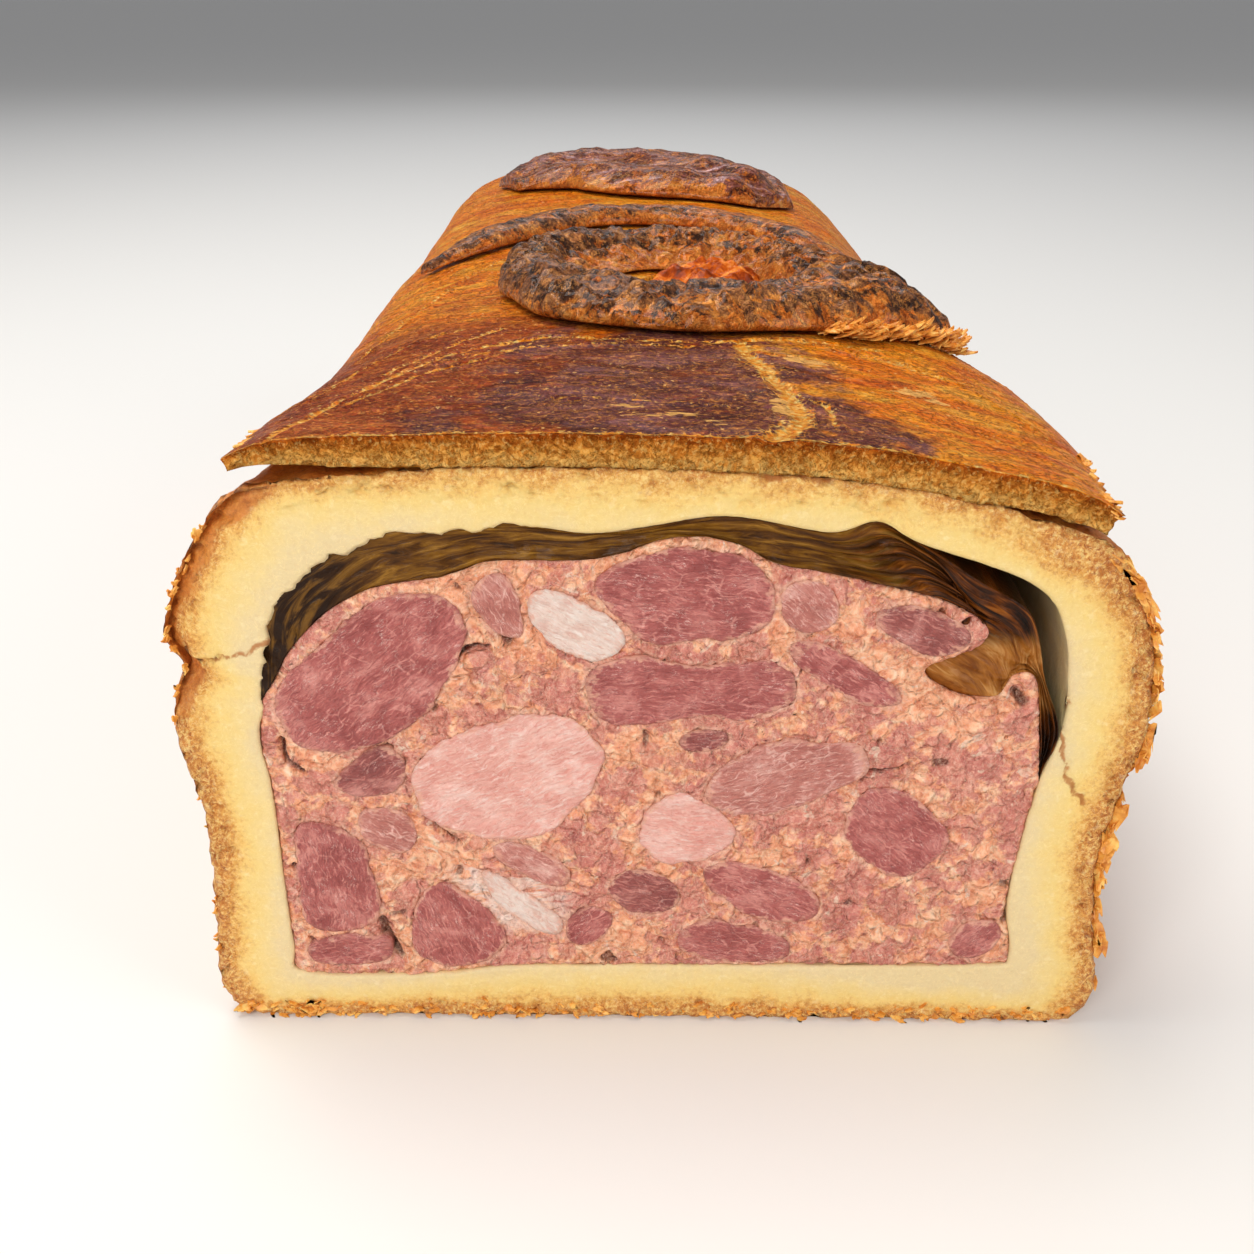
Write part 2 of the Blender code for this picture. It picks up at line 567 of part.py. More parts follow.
CASE_RING = curve_through(LEFT_WALL + TOP_LINE + RIGHT_WALL + BASE, 0.0054, closed=True)
HOLLOW_RING = curve_through(HOLLOW, 0.0046, closed=True)
LID_BED = curve_through(TOP_LINE, 0.0020)
LID_NORMALS = outward(LID_BED, False)

make_case()
make_lid()
make_chunks(make_fillings())
make_collar()
make_cord()
make_leaf()
centre_on_base()
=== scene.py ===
import math
import random

import bmesh
import bpy
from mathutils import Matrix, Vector, noise
from mathutils.kdtree import KDTree


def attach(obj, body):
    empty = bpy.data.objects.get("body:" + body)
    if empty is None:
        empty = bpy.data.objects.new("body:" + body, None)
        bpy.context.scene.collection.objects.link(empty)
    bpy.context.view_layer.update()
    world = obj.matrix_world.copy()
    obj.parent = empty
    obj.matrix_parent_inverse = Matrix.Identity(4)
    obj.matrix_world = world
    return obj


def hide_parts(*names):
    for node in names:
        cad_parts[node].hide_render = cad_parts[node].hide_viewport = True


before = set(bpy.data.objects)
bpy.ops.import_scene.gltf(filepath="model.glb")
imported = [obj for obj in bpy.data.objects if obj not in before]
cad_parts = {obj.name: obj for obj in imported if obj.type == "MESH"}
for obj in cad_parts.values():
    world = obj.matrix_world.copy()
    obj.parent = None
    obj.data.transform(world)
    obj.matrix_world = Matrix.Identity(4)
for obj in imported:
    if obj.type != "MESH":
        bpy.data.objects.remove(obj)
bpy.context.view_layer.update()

# Pastry case. The real piece is a box of rich short pastry, baked in a tin until its skin is golden brown.
# Its cut shows pale cream dough that turns to a toasted open crumb near the skin.
# Base, walls, folded top and closed end are one sheet of dough, so it is one piece here too.
FRONT_Y = -0.100
BACK_Y = 0.100
END_WALL = 0.009
LENGTH_IN = BACK_Y - END_WALL - FRONT_Y
MILLIMETRES = 1000.0
END_ROUNDING = 0.006
END_MIDDLE = 0.033
SHIFT = Vector((-0.000606, 0.000733, 0.0))
LEFT_WALL = [(-0.0476, 0.0006), (-0.0494, 0.0028), (-0.0499, 0.0065), (-0.0489, 0.0190), (-0.0485, 0.0275),
             (-0.0500, 0.0376), (-0.0494, 0.0430), (-0.0480, 0.0462), (-0.0494, 0.0492), (-0.0486, 0.0530)]
TOP_LINE = [(-0.0466, 0.0572), (-0.0440, 0.0614), (-0.0405, 0.0646), (-0.0350, 0.0659), (-0.0240, 0.0668),
            (-0.0100, 0.0670), (0.0050, 0.0667), (0.0180, 0.0658), (0.0310, 0.0634), (0.0385, 0.0608),
            (0.0436, 0.0577), (0.0470, 0.0536)]
RIGHT_WALL = [(0.0491, 0.0485), (0.0503, 0.0397), (0.0486, 0.0300), (0.0479, 0.0210), (0.0495, 0.0105),
              (0.0502, 0.0045), (0.0486, 0.0006)]
BASE = [(0.0460, 0.0), (0.0400, 0.0), (0.0200, 0.0), (-0.0200, 0.0), (-0.0400, 0.0), (-0.0450, 0.0)]
HOLLOW = [(-0.0398, 0.0064), (-0.0409, 0.0110), (-0.0408, 0.0308), (-0.0413, 0.0370), (-0.0405, 0.0430),
          (-0.0387, 0.0519), (-0.0342, 0.0570), (-0.0283, 0.0603), (-0.0160, 0.0619), (-0.0058, 0.0609),
          (0.0060, 0.0627), (0.0160, 0.0611), (0.0207, 0.0622), (0.0250, 0.0600), (0.0363, 0.0557),
          (0.0402, 0.0502), (0.0416, 0.0400), (0.0400, 0.0320), (0.0388, 0.0180), (0.0399, 0.0100),
          (0.0375, 0.0083), (0.0185, 0.0080), (-0.0150, 0.0076), (-0.0242, 0.0064)]
# Cracks in the cut of the case, as (x, z) lines with their depth
CASE_CRACKS = [([(-0.0500, 0.0478), (-0.0478, 0.0470), (-0.0462, 0.0466), (-0.0440, 0.0472)], 0.0011),
               ([(-0.0450, 0.0468), (-0.0418, 0.0477), (-0.0396, 0.0492), (-0.0388, 0.0512)], 0.0003),
               ([(0.0413, 0.0431), (0.0416, 0.0385), (0.0423, 0.0350), (0.0431, 0.0329), (0.0450, 0.0306)], 0.0005),
               ([(0.0097, 0.0660), (0.0129, 0.0664), (0.0160, 0.0655)], 0.0004)]


def even(line, count):
    """The line as count + 1 evenly spaced points."""
    reach = [0.0]
    for p, q in zip(line, line[1:]):
        reach.append(reach[-1] + (q - p).length)
    points, k = [], 0
    for i in range(count + 1):
        goal = reach[-1] * i / count
        while k < len(reach) - 2 and reach[k + 1] < goal:
            k += 1
        share = (goal - reach[k]) / max(reach[k + 1] - reach[k], 1e-9)
        points.append(line[k].lerp(line[k + 1], min(max(share, 0.0), 1.0)))
    return points


def curve_through(points, spacing, closed=False):
    """Evenly spaced points along a smooth curve through the given ones."""
    knots = [Vector(p) for p in points]
    last = len(knots) - 1
    spans = last + 1 if closed else last
    dense = []
    for i in range(spans):
        picks = [i - 1, i, i + 1, i + 2]
        if closed:
            a, b, c, d = (knots[k % (last + 1)] for k in picks)
        else:
            a, b, c, d = (knots[min(max(k, 0), last)] for k in picks)
        for j in range(24):
            t = j / 24
            dense.append(0.5 * (2 * b + (c - a) * t + (2 * a - 5 * b + 4 * c - d) * t ** 2
                                + (3 * b - a - 3 * c + d) * t ** 3))
    dense.append(dense[0].copy() if closed else knots[-1])
    count = max(4, round(sum((q - p).length for p, q in zip(dense, dense[1:])) / spacing))
    return even(dense, count)[:count if closed else count + 1]


def outward(line, closed):
    """Unit normals on the left of the way along the line."""
    normals = []
    last = len(line) - 1
    for i in range(len(line)):
        before = line[i - 1] if closed or i > 0 else line[i]
        after = line[(i + 1) % (last + 1)] if closed or i < last else line[i]
        way = (after - before).normalized()
        normals.append(Vector((-way.y, way.x)))
    return normals


def ease(value):
    """0 to 1 with soft ends."""
    t = min(max(value, 0.0), 1.0)
    return t * t * (3 - 2 * t)


def hill(value, middle, width):
    """Smooth bump of height 1 about the middle."""
    return math.exp(-((value - middle) / width) ** 2)


def grain(p, scale, layers=3):
    """Layered noise about 0 at the point p."""
    return noise.fractal(p * scale, 0.8, 2.1, layers)


def swell(x, y, z):
    """Uneven swelling of the baked crust, none at the base or at the cut."""
    spot = Vector((x, y, z))
    amount = noise.noise(spot * 24) + 0.4 * noise.noise(spot * 70)
    return 0.0007 * amount * ease(z / 0.006) * ease((y - FRONT_Y) / 0.008)


def slumped(x, z, y):
    """The section point (x, z) at y after the shoulders have sunk behind the cut."""
    behind = y - FRONT_Y
    left = 0.0043 * ease(behind / 0.042)
    right = 0.0050 * ease((behind - 0.038) / 0.045) - 0.0012 * hill(behind, 0.024, 0.016)
    for corner_x, corner_z, sink, side in ((-0.046, 0.062, left, 1), (0.047, 0.058, right, -1)):
        spread = ((x - corner_x) ** 2 + (z - corner_z) ** 2) / 0.011 ** 2
        move = sink * math.exp(-spread / 2) * math.sqrt(0.5)
        x += side * move
        z -= move
    return x, z


def end_inset(y):
    """How far the section draws in where the closed end rounds off."""
    t = min(max((y - (BACK_Y - END_ROUNDING)) / END_ROUNDING, 0.0), 1.0)
    return END_ROUNDING * (1 - math.sqrt(1 - t * t)) * 0.8


def on_crust(p, normal, lift, y):
    """A point over the section point p, moved out by lift and by the crust's swelling."""
    out = lift + swell(p.x, y, p.y) - end_inset(y)
    if p.y < 0.0003:
        return Vector((p.x * (1 - end_inset(y) / 0.05), y, max(0.0, lift * 0.3)))
    x, z = slumped(p.x + normal.x * out, p.y + normal.y * out, y)
    return Vector((x, y, max(z, 0.0)))


def end_corner(q, p):
    """Draws the low corners of the closed end straight in, so that their small radius doesn't fold."""
    if p.y < 0.0003:
        return q
    away = Vector((p.x, p.y - END_MIDDLE)).normalized()
    reach = math.hypot(q.x, q.z - END_MIDDLE)
    straight = Vector((away.x * reach, q.y, max(END_MIDDLE + away.y * reach, 0.0)))
    return q.lerp(straight, 1 - ease((p.y - 0.010) / 0.010))


def cells(count_u, count_v, names=()):
    """A flat sheet of quads with room for named values, and each vert's column and row in it."""
    bm = bmesh.new()
    layers = {name: bm.verts.layers.float.new(name) for name in names}
    bmesh.ops.create_grid(bm, x_segments=count_u, y_segments=count_v, size=0.5)
    places = []
    for vert in bm.verts:
        places.append((vert, round((vert.co.x + 0.5) * count_u), round((vert.co.y + 0.5) * count_v)))
    return bm, places, layers


def skin(rows, values):
    """Closed skin over rows of points that each run once round, the first and last row being points."""
    around = len(rows[0])
    bm, places, layers = cells(around, len(rows) - 1, values)
    for vert, i, j in places:
        vert.co = rows[j][i % around]
        for key, layer in layers.items():
            vert[layer] = values[key][j][i % around]
    bmesh.ops.remove_doubles(bm, verts=bm.verts, dist=2e-6)
    return bm


def show(name, bm, material, replaced, smooth=True):
    """A finished piece of the food, riding with the rest and standing for its CAD nodes."""
    bmesh.ops.recalc_face_normals(bm, faces=bm.faces)
    for vert in bm.verts:
        vert.co += SHIFT
    mesh = bpy.data.meshes.new(name)
    bm.to_mesh(mesh)
    bm.free()
    piece = bpy.data.objects.new(name, mesh)
    bpy.context.scene.collection.objects.link(piece)
    mesh.materials.append(material)
    if smooth:
        mesh.shade_smooth()
    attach(piece, "root")
    if replaced:
        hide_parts(*replaced)


def tone(red, green, blue):
    """Screen colour from 0 to 255 as the light's own values."""
    linear = []
    for level in (red, green, blue):
        c = level / 255
        linear.append(c / 12.92 if c <= 0.04045 else ((c + 0.055) / 1.055) ** 2.4)
    return (*linear, 1.0)


class Finish:
    """A food's surface, its colour built up from patterns in the piece's own coordinates."""

    def __init__(self, name, **settings):
        self.material = bpy.data.materials.new(name)
        self.material.use_nodes = True
        self.tree = self.material.node_tree
        self.shader = self.tree.nodes["Principled BSDF"]
        for key, value in settings.items():
            self.shader.inputs[key.replace("_", " ")].default_value = value
        self.place = self.tree.nodes.new("ShaderNodeTexCoord").outputs["Object"]

    def put(self, socket, value):
        """Link a pattern to the socket or set it, three numbers being a screen colour."""
        if isinstance(value, bpy.types.NodeSocket):
            self.tree.links.new(value, socket)
        else:
            socket.default_value = tone(*value) if isinstance(value, tuple) and len(value) == 3 else value

    def to(self, key, value):
        """Join a pattern to one of the surface's own settings."""
        self.put(self.shader.inputs[key], value)

    def scatter(self, weight, radius):
        """Let light sink in, by so many metres of red, green and blue."""
        self.to("Subsurface Weight", weight)
        self.shader.inputs["Subsurface Radius"].default_value = radius

    def attribute(self, name):
        node = self.tree.nodes.new("ShaderNodeAttribute")
        node.attribute_name = name
        return node.outputs["Fac"]

    def stretch(self, scale, turn=(0, 0, 0), source=None):
        """The coordinates stretched and turned."""
        node = self.tree.nodes.new("ShaderNodeMapping")
        self.put(node.inputs["Vector"], source or self.place)
        node.inputs["Scale"].default_value = scale
        node.inputs["Rotation"].default_value = turn
        return node.outputs["Vector"]

    def noise(self, scale, detail=3.0, rough=0.6, warp=0.0, source=None):
        node = self.tree.nodes.new("ShaderNodeTexNoise")
        self.put(node.inputs["Vector"], source or self.place)
        for key, value in (("Scale", scale), ("Detail", detail), ("Roughness", rough), ("Distortion", warp)):
            node.inputs[key].default_value = value
        return node.outputs["Fac"]

    def warped(self, scale, amount, source=None):
        """The coordinates pushed about by noise."""
        node = self.tree.nodes.new("ShaderNodeTexNoise")
        self.put(node.inputs["Vector"], source or self.place)
        node.inputs["Scale"].default_value = scale
        node.inputs["Detail"].default_value = 3.0
        push = self.tree.nodes.new("ShaderNodeVectorMath")
        push.operation = "MULTIPLY_ADD"
        self.put(push.inputs[0], node.outputs["Color"])
        push.inputs[1].default_value = (amount, amount, amount)
        self.put(push.inputs[2], source or self.place)
        return push.outputs["Vector"]

    def voronoi(self, scale, feature, output="Distance", source=None):
        node = self.tree.nodes.new("ShaderNodeTexVoronoi")
        node.feature = feature
        self.put(node.inputs["Vector"], source or self.place)
        node.inputs["Scale"].default_value = scale
        return node.outputs[output]

    def level(self, value, low, high, start=0.0, end=1.0):
        """The share from low to high, eased and held within 0 and 1."""
        node = self.tree.nodes.new("ShaderNodeMapRange")
        node.interpolation_type = "SMOOTHSTEP"
        self.put(node.inputs["Value"], value)
        for key, number in (("From Min", low), ("From Max", high), ("To Min", start), ("To Max", end)):
            node.inputs[key].default_value = number
        return node.outputs["Result"]

    def math(self, operation, a, b=0.0):
        node = self.tree.nodes.new("ShaderNodeMath")
        node.operation = operation
        self.put(node.inputs[0], a)
        self.put(node.inputs[1], b)
        return node.outputs["Value"]

    def sum(self, a, b):
        return self.math("ADD", a, b)

    def times(self, a, b):
        return self.math("MULTIPLY", a, b)

    def apart(self, a, b):
        """How far a + b is from nothing, to either side."""
        return self.math("ABSOLUTE", self.sum(a, b))

    def lines(self, *settings):
        """Thin winding lines, nothing on the line itself, where noise crosses its middle."""
        return self.math("ABSOLUTE", self.math("SUBTRACT", self.noise(*settings), 0.5))

    def flow(self, depth=0.0):
        """Coordinates along and across a piece, kept in its mesh."""
        node = self.tree.nodes.new("ShaderNodeCombineXYZ")
        for key, value in (("X", self.attribute("along")), ("Y", self.attribute("across")), ("Z", depth)):
            self.put(node.inputs[key], value)
        return node.outputs["Vector"]

    def axis(self, which, source=None):
        node = self.tree.nodes.new("ShaderNodeSeparateXYZ")
        self.put(node.inputs["Vector"], source or self.place)
        return node.outputs[which]

    def ramp(self, value, stops):
        node = self.tree.nodes.new("ShaderNodeValToRGB")
        self.put(node.inputs["Fac"], value)
        elements = node.color_ramp.elements
        while len(elements) < len(stops):
            elements.new(0.5)
        for element, (place, colour) in zip(elements, stops):
            element.position = place
            element.color = tone(*colour) if len(colour) == 3 else colour
        return node.outputs["Color"]

    def mix(self, share, a, b, blend="MIX"):
        node = self.tree.nodes.new("ShaderNodeMix")
        node.data_type = "RGBA"
        node.blend_type = blend
        self.put(node.inputs["Factor"], share)
        self.put(node.inputs[6], a)
        self.put(node.inputs[7], b)
        return node.outputs[2]

    def grit(self, colour, scale, share, dark, light):
        """The colour with fine dark and light specks over it."""
        specks = self.noise(scale, 3, 0.7)
        colour = self.mix(self.level(specks, 0.47, 0.38, 0.0, share), colour, dark)
        return self.mix(self.level(specks, 0.54, 0.63, 0.0, share), colour, light)

    def bump(self, height, depth, strength=1.0, over=None):
        """Fine relief of the given depth in metres."""
        node = self.tree.nodes.new("ShaderNodeBump")
        self.put(node.inputs["Height"], height)
        node.inputs["Distance"].default_value = depth
        self.put(node.inputs["Strength"], strength)
        if over:
            self.put(node.inputs["Normal"], over)
        return node.outputs["Normal"]


def point_tree(points):
    """Finder of the nearest of some points, each known by its number."""
    tree = KDTree(len(points))
    for i, p in enumerate(points):
        tree.insert((p.x, p.y, 0.0), i)
    tree.balance()
    return tree


def near_lines(lines, step=0.0002):
    """Finder that gives the distance from a point to the nearest of some drawn lines, and that line's number."""
    dots = []
    for number, line in enumerate(lines):
        dots += [(p, number) for p in curve_through(line, step)]
    tree = point_tree([p for p, number in dots])

    def find(x, y):
        found = tree.find((x, y, 0.0))
        return found[2], dots[found[1]][1]
    return find


def hollow_facing(ring, core):
    """For each ring point, the point of the hollow seen in the same direction from the core."""
    inner = []
    for p in curve_through(HOLLOW, 0.0002, closed=True):
        inner.append((math.atan2(p.y - core.y, p.x - core.x), p))
    inner.sort(key=lambda item: item[0])
    matched = []
    for p in ring:
        angle = math.atan2(p.y - core.y, p.x - core.x)
        low, high = 0, len(inner) - 1
        while high - low > 1:
            middle = (low + high) // 2
            if inner[middle][0] < angle:
                low = middle
            else:
                high = middle
        matched.append(inner[low][1].lerp(inner[high][1], 0.5))
    return matched


CASE_LINE = curve_through(LEFT_WALL + TOP_LINE + RIGHT_WALL + BASE, 0.00060, closed=True)
CASE_NORMALS = outward(CASE_LINE, True)
CASE_INNER = hollow_facing(CASE_LINE, Vector((0.0, 0.032)))
case_crack = near_lines([line for line, depth in CASE_CRACKS])
VENT = (0.0038, FRONT_Y + 0.0654)
VENT_HALF = (0.0058, 0.0068)


def in_vent(x, y, grow=1.0):
    """Square of the distance from the vent's middle, where 1 is its edge."""
    return ((x - VENT[0]) / (VENT_HALF[0] * grow)) ** 2 + ((y - VENT[1]) / (VENT_HALF[1] * grow)) ** 2


def risen(p, behind):
    """How far the top of the case has risen against the lid, in patches, at a section point."""
    under_lid = ease((p.x + 0.030) / 0.012) * ease((0.0470 - p.x) / 0.004) * ease((p.y - 0.050) / 0.004)
    eave = 0.0012 * ease((p.x - 0.036) / 0.008) * (1 - ease(behind / 0.045)) ** 2
    patch = noise.noise(Vector((p.x * 380, 2.0, 0.0)))
    return under_lid * (min(0.00056 + 0.00050 * patch, 0.00056) + eave * (0.85 + 0.4 * patch))


def case_rows():
    """Rows from the closed end along the outside, over the cut and back into the hollow."""
    rows, cut, skin_share, crack = [], [], [], []

    def add(points, depth, outside, gap):
        rows.append(points)
        cut.append(depth)
        skin_share.append(outside)
        crack.append(gap)

    count = len(CASE_LINE)
    flat = [0.0] * count
    ones = [1.0] * count
    far = [5.0] * count
    last = [end_corner(on_crust(p, n, 0.0, BACK_Y), p) for p, n in zip(CASE_LINE, CASE_NORMALS)]
    middle = Vector((0.0, BACK_Y, END_MIDDLE))
    for k in range(12):
        share = k / 12
        ring = []
        for p in last:
            q = middle.lerp(p, share)
            q.y = BACK_Y - 0.0006 * abs(grain(q, 60)) * (1 - share)
            ring.append(q)
        add(ring, flat, ones, far)
    steps = [BACK_Y - 0.0018 * k for k in range(106)] + [FRONT_Y + v for v in (0.008, 0.0065, 0.005, 0.0038, 0.0028,
                                                                              0.002, 0.0013, 0.0008)]
    for y in steps:
        ring = []
        for p, n in zip(CASE_LINE, CASE_NORMALS):
            spot = Vector((p.x, y * 0.45, p.y))
            flake = 0.00035 * grain(spot, 260) + 0.00025 * grain(Vector((p.x, y, p.y)), 800, 2)
            side = ease((p.x - 0.040) / 0.006) * ease((0.060 - p.y) / 0.01)
            step = (p.y * 260 + 2.2 * noise.noise(spot * 55)) % 1.0
            flake += 0.00045 * side * (step ** 3) * (0.6 + noise.noise(spot * 240))
            flake = min(flake - 0.0002, 0.0002) + risen(p, y - FRONT_Y)
            q = on_crust(p, n, flake * ease(p.y / 0.003), y)
            if y > BACK_Y - END_ROUNDING:
                q = end_corner(q, p)
            if in_vent(q.x, q.y, 1.15) < 1 and p.y > 0.05:
                q.z = 0.0646 + 0.0010 * grain(q, 420) + 0.0008 * in_vent(q.x, q.y, 1.15)
            ring.append(q)
        add(ring, flat, ones, far)
    cut_rows = 30
    for k in range(cut_rows + 1):
        t = (k / cut_rows) ** 0.92
        ring, depths, gaps, skins = [], [], [], []
        for p, n, h in zip(CASE_LINE, CASE_NORMALS, CASE_INNER):
            width = (h - p).length
            corner = ease((-p.x - 0.034) / 0.008) * ease((p.y - 0.036) / 0.010)
            q = p.lerp(h, t)
            deep = t * width
            left_in = (1 - t) * width
            spot = Vector((q.x, 0.0, q.y))
            toasted = 1 - ease((deep - 0.0012 + 0.0012 * grain(spot, 300)) / 0.0030)
            rough = 0.00006 + 0.00034 * toasted
            relief = rough * grain(spot, 900, 4) * 1.5 + 0.00016 * grain(spot, 160)
            pit = grain(spot, 620, 2)
            relief += 0.0007 * toasted * ease((pit - 0.30) / 0.25)
            gap, number = case_crack(q.x + 0.0005 * noise.noise(spot * 700),
                                     q.y + 0.0005 * noise.noise(spot * 700 + Vector((9, 3, 1))))
            relief += CASE_CRACKS[number][1] * hill(gap, 0, 0.00022)
            edge = 0.0005 * (1 - ease(deep / 0.0006)) + 0.00025 * (1 - ease(left_in / 0.0004))
            ragged = 0.00030 * grain(Vector((q.x, 3.0, q.y)), 500) * (1 - ease(deep / 0.0012))
            torn = ease((-p.x - 0.012) / 0.008) * ease((p.y - 0.040) / 0.006) * ease((0.0009 - left_in) / 0.0009)
            q += (h - p).normalized() * torn * (0.0004 + 0.0011 * grain(Vector((h.x, 7.0, h.y)), 330, 4))
            edge += 0.0018 * corner * (1 - ease(deep / 0.0030))
            band = 0.0021 * corner * (0.75 + 0.9 * noise.noise(spot * 260))
            skins.append(corner * (1 - ease((deep - band) / 0.0005)))
            ragged = min(ragged, 0.0003) + risen(p, 0.0) * (1 - ease(deep / 0.0026))
            ring.append(Vector((q.x + n.x * ragged, FRONT_Y + max(relief, -0.0001) + edge + 0.0002,
                                max(q.y + n.y * ragged, 0.0))))
            depths.append(deep * MILLIMETRES)
            gaps.append(min(gap * MILLIMETRES, 5.0))
        add(ring, depths, skins, gaps)
    for back in (0.0008, 0.0016, 0.003, 0.005, 0.008, 0.012, 0.02, 0.04, 0.08, 0.14, LENGTH_IN):
        y = FRONT_Y + back
        ring = []
        for h in CASE_INNER:
            x, z = slumped(h.x, h.y, y)
            wave = 0.0003 * grain(Vector((x, y, z)), 300)
            ring.append(Vector((x * (1 + wave * 8), y, z + wave)))
        add(ring, [8.0] * count, flat, far)
    middle = Vector((0.0, FRONT_Y + LENGTH_IN, END_MIDDLE))
    for share in (0.6, 0.3, 0.0):
        add([middle.lerp(p, share) for p in rows[-1]] if share else [middle] * count, [8.0] * count, flat, far)
    return rows, {"cut": cut, "skin": skin_share, "crack": crack}


def pastry_finish():
    """Baked short pastry: cream inside, golden crumb outward, brown skin, and painted shade in the cracks of the cut.
    """
    f = Finish("baked_pastry", Roughness=0.62)
    depth = f.attribute("cut")
    wander = f.noise(260, 4, 0.65)
    depth = f.sum(depth, f.level(wander, 0.25, 0.75, -1.0, 1.0))
    low = f.axis("Z")
    middle = f.level(f.math("ABSOLUTE", f.axis("X")), 0.042, 0.036)
    top_pale = f.times(f.level(low, 0.058, 0.0635, 0.0, 1.9), middle)
    depth = f.sum(depth, top_pale)
    cut_colour = f.ramp(f.math("DIVIDE", depth, 9.0), [
        (0.00, (150, 72, 18)), (0.08, (182, 102, 36)), (0.17, (208, 132, 52)), (0.27, (228, 168, 80)),
        (0.40, (238, 194, 108)), (0.55, (238, 205, 126)), (0.74, (236, 208, 142)),
        (0.95, (230, 206, 156))])
    crumbs = f.noise(1050, 5, 0.74, 1.6)
    crumb_colour = f.ramp(crumbs, [(0.34, (122, 58, 14)), (0.44, (194, 114, 42)), (0.52, (226, 158, 72)),
                                   (0.64, (252, 208, 120))])
    in_crumb = f.level(depth, 4.2, 0.8, 0.0, 0.74)
    cut_colour = f.mix(in_crumb, cut_colour, crumb_colour)
    wisps = f.lines(620, 4, 0.6, 2.6)
    cut_colour = f.mix(f.level(wisps, 0.016, 0.004, 0.0, 0.45), cut_colour, (255, 230, 168))
    fleck = f.level(f.noise(900, 2, 0.5), 0.60, 0.72, 0.0, 0.22)
    cut_colour = f.mix(fleck, cut_colour, (255, 238, 190))
    gritty = f.grit(cut_colour, 1900, 0.55, (176, 96, 28), (255, 226, 146))
    cut_colour = f.mix(f.level(depth, 5.5, 1.5, 0.10, 1.0), cut_colour, gritty)
    streak = f.noise(120, 5, 0.7, 0.4, f.stretch((1.0, 0.35, 1.0)))
    skin_colour = f.ramp(streak, [(0.30, (138, 66, 20)), (0.44, (192, 104, 34)), (0.56, (216, 130, 44)),
                                  (0.70, (238, 168, 74))])
    patch = f.level(f.noise(45, 3, 0.6), 0.42, 0.62, 0.0, 0.55)
    skin_colour = f.mix(patch, skin_colour, (222, 140, 62))
    base_pale = f.level(low, 0.0, 0.012, 0.45, 0.0)
    skin_colour = f.grit(f.mix(base_pale, skin_colour, (232, 176, 96)), 1500, 0.35, (136, 60, 14), (250, 180, 90))
    colour = f.mix(f.attribute("skin"), cut_colour, skin_colour)
    # Painted shade: the cracks in the cut are darkened to golden brown.
    torn = f.level(f.sum(f.attribute("crack"), f.level(f.noise(800), 0.3, 0.7, -0.10, 0.10)), 0.12, 0.34, 0.80, 0.0)
    colour = f.mix(torn, colour, (178, 104, 40))
    wet = f.level(low, 0.0668, 0.0655)
    wet = f.times(wet, f.level(f.apart(f.axis("X"), -VENT[0]), 0.0066, 0.0056))
    wet = f.times(wet, f.level(f.apart(f.axis("Y"), -VENT[1]), 0.0078, 0.0066))
    wet = f.times(wet, f.level(low, 0.060, 0.062))
    pulp = f.ramp(f.noise(420, 4, 0.6, 0.8), [(0.34, (92, 34, 6)), (0.5, (168, 74, 18)), (0.66, (220, 126, 44))])
    colour = f.mix(wet, colour, pulp)
    f.to("Base Color", colour)
    f.scatter(0.08, (0.0020, 0.0012, 0.0006))
    f.to("Roughness", f.level(f.attribute("skin"), 0.0, 1.0, 0.68, 0.45))
    fine = f.bump(f.noise(2400, 4, 0.7), 0.00022, f.level(depth, 5.0, 1.0, 0.25, 1.0))
    f.to("Normal", f.bump(f.noise(700, 4, 0.65), 0.00030, 0.6, fine))
    return f.material


show("crust_case", skin(*case_rows()), pastry_finish(), ["pastry_case"])

# Lid. The real lid is a separate sheet of the same dough, laid over the case and brushed with egg.
# It baked to a shiny orange-brown crust, nearly purple-brown in the middle, with thin golden splits.
LID_GAP = 0.0006
LID_THICKNESS = 0.0033
EAVE_DEPTH = 0.045
LID_BED = curve_through(TOP_LINE, 0.0005)
LID_NORMALS = outward(LID_BED, False)
